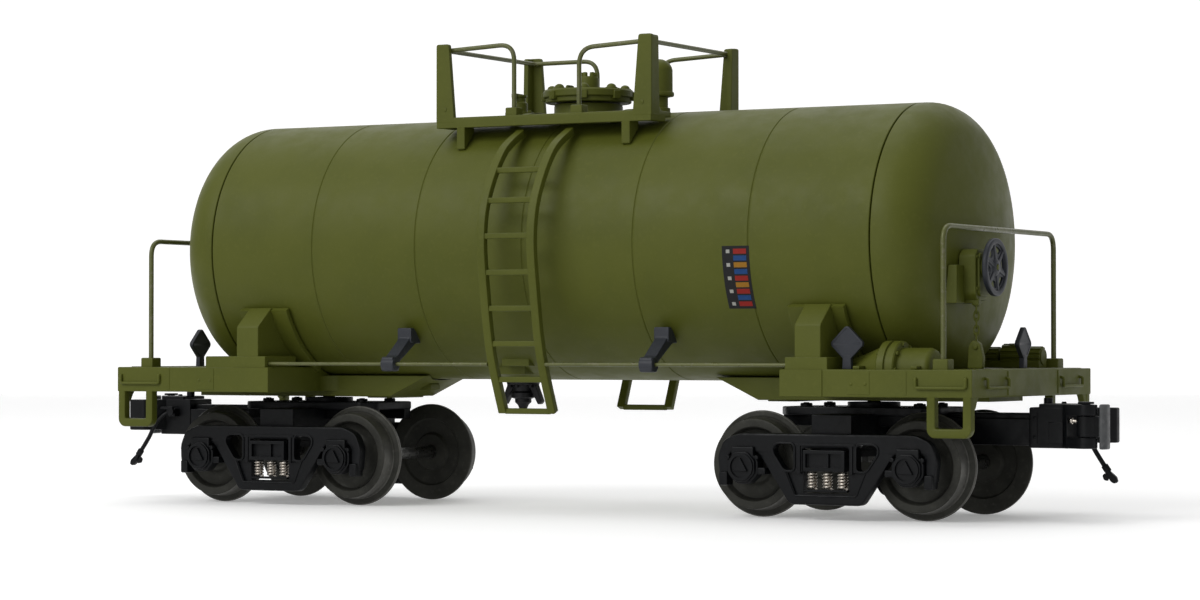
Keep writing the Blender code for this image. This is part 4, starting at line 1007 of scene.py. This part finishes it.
def truck_bolster():
    beam = block((-4.4, -20.6, 12.5), (4.4, 20.6, 21.0), 0.3)
    ends = block((-BOLSTER_HALF, -BOLSTER_END, BOLSTER_BOTTOM), (BOLSTER_HALF, BOLSTER_END, 14.0), 0.25)
    centre_gap = block((-6, -20.0, 8), (6, 20.0, 12.5), 0.02)
    half = [(15.0, -10.0), (17.5, -7.0), (17.5, 7.0), (15.0, 10.0)]
    top = plate(eased(half + [(-x, y) for x, y in half[::-1]], 0.8), 20.6, 22.3, soft=0.25)
    centre_plate = bar((0, 0), 5.4, 22.2, CENTRE_SILL_BOTTOM - GAP, segments=48)
    arms = [block((-17.0, y - 1.3, 18.4), (17.0, y + 1.3, 20.8), 0.3) for y in (-6.2, 6.2)]
    shape = joined(beam, cut(ends, centre_gap), top, centre_plate, *arms)
    pockets = []
    trims = []
    for side in (-1, 1):
        depth = sorted((side * (BOLSTER_END - 0.9), side * (BOLSTER_END + 1)))
        pockets.append(block((-3.95, depth[0], 10.5), (3.95, depth[1], 13.3), 0.15))
        rib = sorted((side * (BOLSTER_END - 1.2), side * (BOLSTER_END - 0.35)))
        trims.append(block((side * -0.75 - 0.2, rib[0], 10.2), (side * -0.75 + 0.2, rib[1], 13.6), 0.08))
        for x in (-12.6, 12.6):
            trims.append(bar((x, side * 5.6), 1.25, 22.1, 23.0, segments=32, soft=0.2))
            trims.append(bar((x, side * 5.6), 0.6, 22.9, 23.15, segments=6, soft=0.05))
    return joined(cut(shape, *pockets, bar((0, 0), 1.8, 8, 26, segments=32, soft=0.01)), *trims)


def side_frame():
    """A cast side frame on the near side of its truck."""
    half = [(7.9, 3.05), (14.6, 12.9), (15.6, 13.5), (20.6, 13.5), (21.4, 12.6), (21.6, 7.6), (22.6, 7.0),
            (23.5, 7.9), (24.0, 12.6), (22.6, 15.8), (19.2, 17.2)]
    outline = eased(half + [(-x, z) for x, z in half[::-1]], 1.1, 4)
    window = [(6.9, 9.9), (8.9, 9.9), (11.3, 13.4), (11.3, 14.5), (10.4, 15.1), (7.4, 15.1), (6.9, 14.6)]
    windows = [eased(window, 0.8, 4), eased([(-x, z) for x, z in window[::-1]], 0.8, 4)]
    centre = eased([(5.0, 5.35), (5.0, 14.3), (-5.0, 14.3), (-5.0, 5.35)], 0.35)
    casting = plate(outline, FRAME_IN, FRAME_OUT - 0.15, ALONG_Y, [centre, *windows], soft=0.42)
    pocket = plate(eased([(8.4, 9.6), (6.5, 5.0), (-6.5, 5.0), (-8.4, 9.6)], 0.4), FRAME_OUT - 0.75,
                   FRAME_OUT + 1,
                   ALONG_Y, soft=0.05)
    casting = cut(casting, pocket)
    ledge = rounded([(-8.9, 9.9), (-6.75, 4.85), (6.75, 4.85), (8.9, 9.9)], 0.5, 4)
    trims = [wire([(x, -FRAME_OUT + 0.12, z) for x, z in ledge], 0.17, 2)]
    for opening in windows:
        trims.append(plate(inset(opening, -0.42), FRAME_OUT - 0.4, FRAME_OUT + 0.12, ALONG_Y, [opening],
                           soft=0.12))
    trims.append(block((-6.6, -FRAME_OUT - 0.12, 14.75), (6.6, -FRAME_OUT + 0.4, 15.25), 0.12))
    for side in (-1, 1):
        rib = sorted((side * 5.35, side * 6.05))
        trims.append(block((rib[0], -FRAME_OUT - 0.12, 9.2), (rib[1], -FRAME_OUT + 0.4, 15.0), 0.12))
        x = side * AXLE_X
        centre_at = (x, AXLE_Z - BOX_DROP)
        foot = sorted((side * 21.4, side * 23.3))
        box = arc(centre_at, 3.75, 22.5, 337.5, 7)
        trims.append(plate(eased(box, 0.7), FRAME_IN + 0.32, 24.12, ALONG_Y, soft=0.35))
        trims.append(block((x - 2.5, -24.3, 12.0), (x + 2.5, -FRAME_IN - 0.2, 14.5), 0.4))
        trims.append(block((foot[0], -24.2, 6.6), (foot[1], -FRAME_IN - 0.2, 9.4), 0.35))
        shelf = sorted((side * 13.0, side * 14.9))
        trims.append(block((shelf[0], -24.0, 8.9), (shelf[1], -FRAME_IN - 0.2, 10.3), 0.3))
        octagon = arc(centre_at, 3.25, 22.5, 337.5, 7)
        trims.append(plate(eased(octagon, 0.5), 23.52, 24.8, ALONG_Y, soft=0.25))
        ring = [(2.75, 25.2), (2.75, 24.45), (2.2, 24.45), (2.2, 25.2)]
        trims.append(turned(ring, centre_at, ALONG_Y, 48, ring=True))
        triangle = arc(centre_at, 1.85, 90, 330, 2)
        trims.append(plate(eased(triangle, 0.25), 24.37, 25.32, ALONG_Y, soft=0.15))
        for bolt_x in (-3.2, 3.2):
            trims.append(bar((x + bolt_x, 12.3), 0.5, 23.6, 24.5, ALONG_Y, 6, 0.08))
    cups = [bar((side * AXLE_X, AXLE_Z), 1.6, 20, AXLE_TIP + GAP, ALONG_Y, 32, 0.01) for side in (-1, 1)]
    return cut(joined(casting, *trims), *cups)


def spring_nest():
    """Three bright coil springs on a thin black seat in the near side frame."""
    seat_top = 6.1
    seat = block((-4.7, -23.3, 5.65), (4.7, -21.3, seat_top), 0.1)
    wire_radius = 0.24
    turns = 5
    low = seat_top + wire_radius * 0.6
    high = BOLSTER_BOTTOM - 0.1 - wire_radius
    steps = turns * 16
    coils = []
    for i in (-1, 0, 1):
        points = []
        for k in range(steps + 1):
            a = 2 * math.pi * k / 16
            r = SPRING_RADIUS - wire_radius + 0.08
            points.append((i * SPRING_PITCH + r * math.cos(a), -22.3 + r * math.sin(a),
                           low + (high - low) * k / steps))
        coils.append(wire(points, wire_radius, 2))
    done = finished(joined(seat, *coils), "spring", "casting")
    for face in done.polygons:
        face.material_index = int(face.center.z < (seat_top + 0.01) * MM)
    return done


def wheel():
    """A wheel with its flange, on the near side of its axle, turned about the axle."""
    tread = TREAD_RADIUS
    profile = [(AXLE_RADIUS + 0.05, 18.6), (3.5, 18.6), (3.85, 18.35), (4.1, 17.9), (4.5, 17.55),
               (5.4, 17.4),
               (6.4, 17.45), (6.95, 17.7), (7.2, 18.2), (7.35, 18.8), (7.6, WHEEL_FACE), (8.8, WHEEL_FACE),
               (tread - 0.05, 18.85), (tread, 18.6), (tread + 0.18, 16.0), (tread + 0.35, 15.6),
               (tread + 0.75, 15.3), (FLANGE_RADIUS - 0.25, 15.1), (FLANGE_RADIUS, 14.8),
               (FLANGE_RADIUS - 0.05, 14.45), (FLANGE_RADIUS - 0.4, WHEEL_BACK), (7.6, WHEEL_BACK),
               (7.2, 14.6), (4.4, 14.9), (3.9, WHEEL_BACK), (AXLE_RADIUS + 0.05, WHEEL_BACK)]
    mesh = turned(profile, axis=ALONG_Y, steps=96, ring=True)
    done = finished(mesh, "wheel", "tread")
    for face in done.polygons:
        out = math.hypot(face.center.x, face.center.z) / MM
        face.material_index = int(out > 8.9 and abs(face.normal.y) < 0.75)
    return done


def axle():
    half = [(0.6, 23.2), (JOURNAL_RADIUS, 22.1), (JOURNAL_RADIUS, 19.4), (AXLE_RADIUS, 19.1),
            (AXLE_RADIUS, 13.6),
            (AXLE_RADIUS - 0.15, 13.2), (1.25, 9.0)]
    profile = [(0, AXLE_TIP)] + half + [(r, -h) for r, h in half[::-1]] + [(0, -AXLE_TIP)]
    return turned(profile, axis=ALONG_Y, steps=40)


def coupler_body():
    """The coupler head on its tongue, with the air hose on its side, measured from the truck's centre."""
    tongue = block((5.0, -4.0, 14.9), (COUPLER_BACK + 1, 4.0, 20.3), 0.3)
    head = plate(eased([(COUPLER_BACK, -4.2), (42.6, -4.2), (43.9, -5.6), (43.9, 4.2), (COUPLER_BACK, 4.2)],
                       0.4),
                 COUPLER_BOTTOM, COUPLER_TOP - 0.7, soft=0.3)
    crest = plate(eased([(37.4, -4.1), (42.6, -4.1), (43.8, -5.4), (43.8, 4.1), (37.4, 4.1)], 0.4),
                  COUPLER_TOP - 2, COUPLER_TOP, soft=0.25)
    guard = plate(eased([(43.0, 2.0), (46.2, 3.4), (49.95, 6.0), (49.95, 8.0), (46.0, 8.0), (42.0, 4.0)],
                        0.5),
                  GUARD_BOTTOM, GUARD_TOP, soft=0.3)
    lug_outline = [(43.4, -5.2), (KNUCKLE_X - 0.6, -7.0)] + arc((KNUCKLE_X, KNUCKLE_Y), 2.2, -90, 90, 16)
    lug_outline += [(43.4, -2.6)]
    lugs = [plate(lug_outline, COUPLER_TOP - LUG_THICK, COUPLER_TOP - 0.05, soft=0.2),
            plate(lug_outline, COUPLER_BOTTOM + 0.05, COUPLER_BOTTOM + LUG_THICK, soft=0.2)]
    pins = [bar((37.3, 1.5), 0.9, 22.9, 24.3), bar((41.0, 0.5), 0.5, 23.0, 23.6, soft=0.15)]
    flank = block((39.6, -4.45, 15.3), (42.6, -3.9, 19.6), 0.2)
    flank_back = block((COUPLER_BACK + 0.5, -4.4, 15.2), (37.2, -3.9, 21.6), 0.2)
    rivets = [dome((COUPLER_BACK + 1.3, z), 0.4, 0.25, 4.35, ALONG_Y) for z in (16.6, 20.4)]
    ridge = block((12.0, -2.2, 19.8), (COUPLER_BACK + 0.5, 2.2, 21.3), 0.3)
    hose = wire(smooth([(38.8, 3.6, 19.6), (41.0, 5.4, 19.4), (43.4, 6.4, 17.0), (45.2, 6.9, 13.6),
                        (46.8, 7.5, 10.8), (48.2, 7.9, 8.6)], 6), 0.48, 5)
    elbow = bar((39.4, 19.6), 0.85, -6.6, -3.8, ALONG_Y, 24, 0.2)
    cock = block((38.5, 3.8, 18.5), (40.6, 6.0, 20.5), 0.4)
    handle = block((38.8, 5.9, 20.2), (42.2, 6.6, 20.8), 0.15)
    lean = shift(47.2, 7.6, 10.2) @ Matrix.Rotation(math.radians(-35), 4, "Y")
    collar = moved(bar((0, 0), 0.72, -0.8, 0.8, segments=24, soft=0.15), lean)
    hand = plate(eased([(46.9, 9.4), (47.6, 9.9), (49.2, 8.6), (49.5, 7.6), (48.8, 7.2), (48.1, 7.6)], 0.3),
                 -8.5, -7.3, ALONG_Y, soft=0.2)
    fork = plate(eased([(46.8, 9.3), (47.6, 8.5), (47.4, 7.7), (46.6, 7.9), (46.3, 8.8)], 0.25), -8.3, -7.5,
                 ALONG_Y, soft=0.15)
    shape = joined(tongue, head, crest, guard, *lugs, *pins, flank, flank_back, *rivets, ridge, elbow, cock,
                   handle, collar, hose, hand, fork)
    return cut(shape, bar((KNUCKLE_X, KNUCKLE_Y), 1.05, 13, 25, soft=0.01))


def coupler_lock():
    """The bright end of the locking spring that shows between the coupler's lugs."""
    return joined(bar((19.9, 0), 0.42, 44.0, 45.7, RAISED_X, 24),
                  bar((19.9, 0), 0.7, 44.3, 44.7, RAISED_X, 24))


def knuckle():
    """The coupler's knuckle, closed, about its pin, with its barrel black and its nose bare."""
    bottom = COUPLER_BOTTOM + LUG_THICK + 0.15
    top = COUPLER_TOP - LUG_THICK - 0.15
    barrel = bar((0, 0), 1.9, bottom, top, segments=48, soft=0.2)
    pin = bar((0, 0), 0.9, COUPLER_BOTTOM + 0.1, COUPLER_TOP + 0.3, segments=24)
    pin_head = bar((0, 0), 1.6, COUPLER_TOP + 0.05, COUPLER_TOP + 0.5, segments=32, soft=0.15)
    tang = plate(eased([(0.2, -1.7), (2.8, 0.4), (2.8, 3.0), (0.6, 1.6)], 0.3), bottom, top, soft=0.2)
    nose = plate(eased([(2.55, 0.2), (3.4, 0.4), (3.9, 1.2), (3.9, 3.0), (3.3, 3.8), (2.3, 4.0),
                        (2.3, 2.6)], 0.4),
                 COUPLER_BOTTOM - 0.1, COUPLER_TOP, soft=0.3)
    done = finished(joined(barrel, pin, pin_head, tang, nose), "casting", "knuckle")
    for face in done.polygons:
        clear_of_lugs = math.hypot(face.center.x, face.center.y) > NOSE_REACH * MM
        face.material_index = int(clear_of_lugs and face.center.x > NOSE_BACK * MM)
    return done


# ---------------------------------------------------------------- assembly

def add_tank():
    show("tank_barrel", finished(tank_barrel(), "olive"))
    head = finished(tank_head(), "olive")
    for end, _, turn in ENDS:
        show(f"tank_head_{end}", head, turn=turn)
    show("manway_cover", finished(manway_cover(), "olive"))
    show("relief_valve", finished(relief_valve(), "olive"))
    show("outlet_valve", finished(outlet_valve(), "black"))
    add_label_panel()


def add_walkway_and_ladders():
    show("walkway_frame", finished(walkway_frame(), "olive"))
    show("walkway_rail_brake_end", finished(walkway_rail(-0.8, -0.8), "olive_wire"))
    show("walkway_rail_plain_end", finished(walkway_rail(0.0, 0.8), "olive_wire"), turn=HALF_TURN)
    stiles = finished(ladder(), "olive")
    rail = side_handrail()
    rails = (finished(rail.copy(), "olive_wire"), finished(mirrored(rail, 0), "olive_wire"))
    bracket = finished(rail_bracket(), "slate")
    for side, turn in SIDES:
        show(f"ladder_{side}", stiles, turn=turn)
        for end, way, end_turn in ENDS:
            show(f"side_handrail_{side}_{end}", rails[int(turn != end_turn)], turn=turn)
            show(f"rail_bracket_{side}_{end}", bracket, (way * BRACKET_X, 0, 0), turn)


def add_platforms():
    handrail = finished(end_handrail(), "olive_wire")
    for end, way, turn in ENDS:
        show(f"underframe_{end}", finished(underframe(way > 0), "olive"), turn=turn)
        show(f"end_handrail_{end}", handrail, turn=turn)
    board = finished(placard(), "slate")
    foot = SILL_TOP + 0.05
    show("placard_near_side", board, (74.1, -28.0, foot))
    show("placard_far_side", board, (-74.1, 28.0, foot), HALF_TURN)
    show("placard_brake_end", board, (95.8, 9.5, foot), math.pi / 2)
    show("placard_plain_end", board, (-95.8, -9.5, foot), -math.pi / 2)
    show("brake_reservoir", finished(brake_reservoir(), "olive"))
    show("brake_control_valve", finished(brake_control_valve(), "olive"))
    show("hand_brake_housing", finished(hand_brake_housing(), "olive"))
    show("hand_brake_wheel", finished(hand_brake_wheel(), "slate"),
         (BRAKE_WHEEL_X, BRAKE_WHEEL_Y, BRAKE_WHEEL_Z))


def add_trucks():
    side = finished(side_frame(), "casting")
    nest = spring_nest()
    bolster = finished(truck_bolster(), "casting")
    disc = wheel()
    shaft = finished(axle(), "steel")
    body = finished(coupler_body(), "casting")
    lock = finished(coupler_lock(), "spring")
    jaw = knuckle()
    for end, way, turn in ENDS:
        truck = (way * TRUCK_X, 0, 0)
        show(f"truck_bolster_{end}", bolster, truck, turn)
        show(f"coupler_{end}", body, truck, turn)
        show(f"coupler_{end}", lock, truck, turn, stands_for=False, name=f"coupler_lock_{end}")
        show(f"coupler_knuckle_{end}", jaw, (way * (TRUCK_X + KNUCKLE_X), way * KNUCKLE_Y, 0), turn)
        for name, side_turn in SIDES:
            show(f"side_frame_{name}_{end}", side, truck, side_turn)
            show(f"spring_nest_{name}_{end}", nest, truck, side_turn)
        for position, x in (("outer", AXLE_X), ("inner", -AXLE_X)):
            centre = (way * (TRUCK_X + x), 0, AXLE_Z)
            show(f"axle_{position}_{end}", shaft, centre)
            for name, side_turn in SIDES:
                show(f"wheel_{position}_{name}_{end}", disc, centre, side_turn)
    for node, finish in (("kingpin_brake_end", "steel"), ("kingpin_plain_end", "steel"),
                         ("ballast_weight", "weight")):
        for holder in frame["nodes"][node].material_slots:
            holder.material = FINISHES[finish]


# ---------------------------------------------------------------- stage, lights and camera

def stage_sheet(name, half_size, place, colour, glow):
    """A plain sheet of the studio, which glows a little so that it looks white."""
    bm = bmesh.new()
    bmesh.ops.create_grid(bm, x_segments=1, y_segments=1, size=half_size, matrix=place)
    sheet = bpy.data.objects.new(name, from_bmesh(bm))
    material = bpy.data.materials.new(f"pale_{name}")
    material.use_nodes = True
    shader = material.node_tree.nodes["Principled BSDF"]
    shader.inputs["Base Color"].default_value = (colour, colour, colour, 1)
    shader.inputs["Roughness"].default_value = 0.8
    shader.inputs["Emission Color"].default_value = (1, 1, 1, 1)
    shader.inputs["Emission Strength"].default_value = glow
    sheet.data.materials.append(material)
    bpy.context.scene.collection.objects.link(sheet)
    return sheet


def add_stage():
    """The floor under the wheels and the backdrop square to the camera."""
    floor = stage_sheet("floor", 3.0, Matrix.Identity(4), 0.92, 0.22)
    floor.visible_diffuse = False
    facing = Matrix.Rotation(math.radians(CAMERA_TURN), 4, "Z") @ Matrix.Rotation(math.pi / 2, 4, "X")
    stage_sheet("backdrop", 1.6, Matrix.Translation((-0.8, 1.5, 1.55)) @ facing, 0.86, 0.6)


def add_light(name, place, aim, size, power):
    light = bpy.data.lights.new(name, "AREA")
    light.shape = "RECTANGLE"
    light.size = size[0]
    light.size_y = size[1]
    light.energy = power
    obj = bpy.data.objects.new(name, light)
    obj.location = place
    obj.rotation_euler = (Vector(aim) - Vector(place)).to_track_quat("-Z", "Y").to_euler()
    bpy.context.scene.collection.objects.link(obj)


def add_lights():
    world = bpy.data.worlds.new("studio")
    bpy.context.scene.world = world
    world.use_nodes = True
    background = world.node_tree.nodes["Background"]
    background.inputs["Color"].default_value = (1.0, 1.0, 1.0, 1)
    background.inputs["Strength"].default_value = 0.42
    add_light("key_softbox", (-0.45, -1.0, 0.85), (0, 0, 0.05), (0.9, 0.6), 7.6)
    add_light("front_softbox", (-0.1, -1.3, 0.25), (0, 0, 0.04), (0.9, 0.5), 1.8)
    add_light("top_softbox", (-0.2, 0.1, 1.2), (0, 0, 0.05), (1.0, 0.8), 3.5)


def add_camera():
    data = bpy.data.cameras.new("camera")
    data.sensor_width = 36.0
    data.lens = CAMERA_LENS
    data.clip_start = 0.01
    data.clip_end = 20.0
    camera = bpy.data.objects.new("camera", data)
    camera.location = CAMERA_PLACE
    camera.rotation_euler = (math.radians(CAMERA_TILT), 0, math.radians(CAMERA_TURN))
    bpy.context.scene.collection.objects.link(camera)
    bpy.context.scene.camera = camera


WORKSHOP = bpy.data.collections.new("workshop")
bpy.context.scene.collection.children.link(WORKSHOP)
FINISHES = make_finishes()
add_tank()
add_walkway_and_ladders()
add_platforms()
add_trucks()
bpy.data.collections.remove(WORKSHOP)
add_stage()
add_lights()
add_camera()
bpy.context.scene.view_settings.view_transform = "Standard"
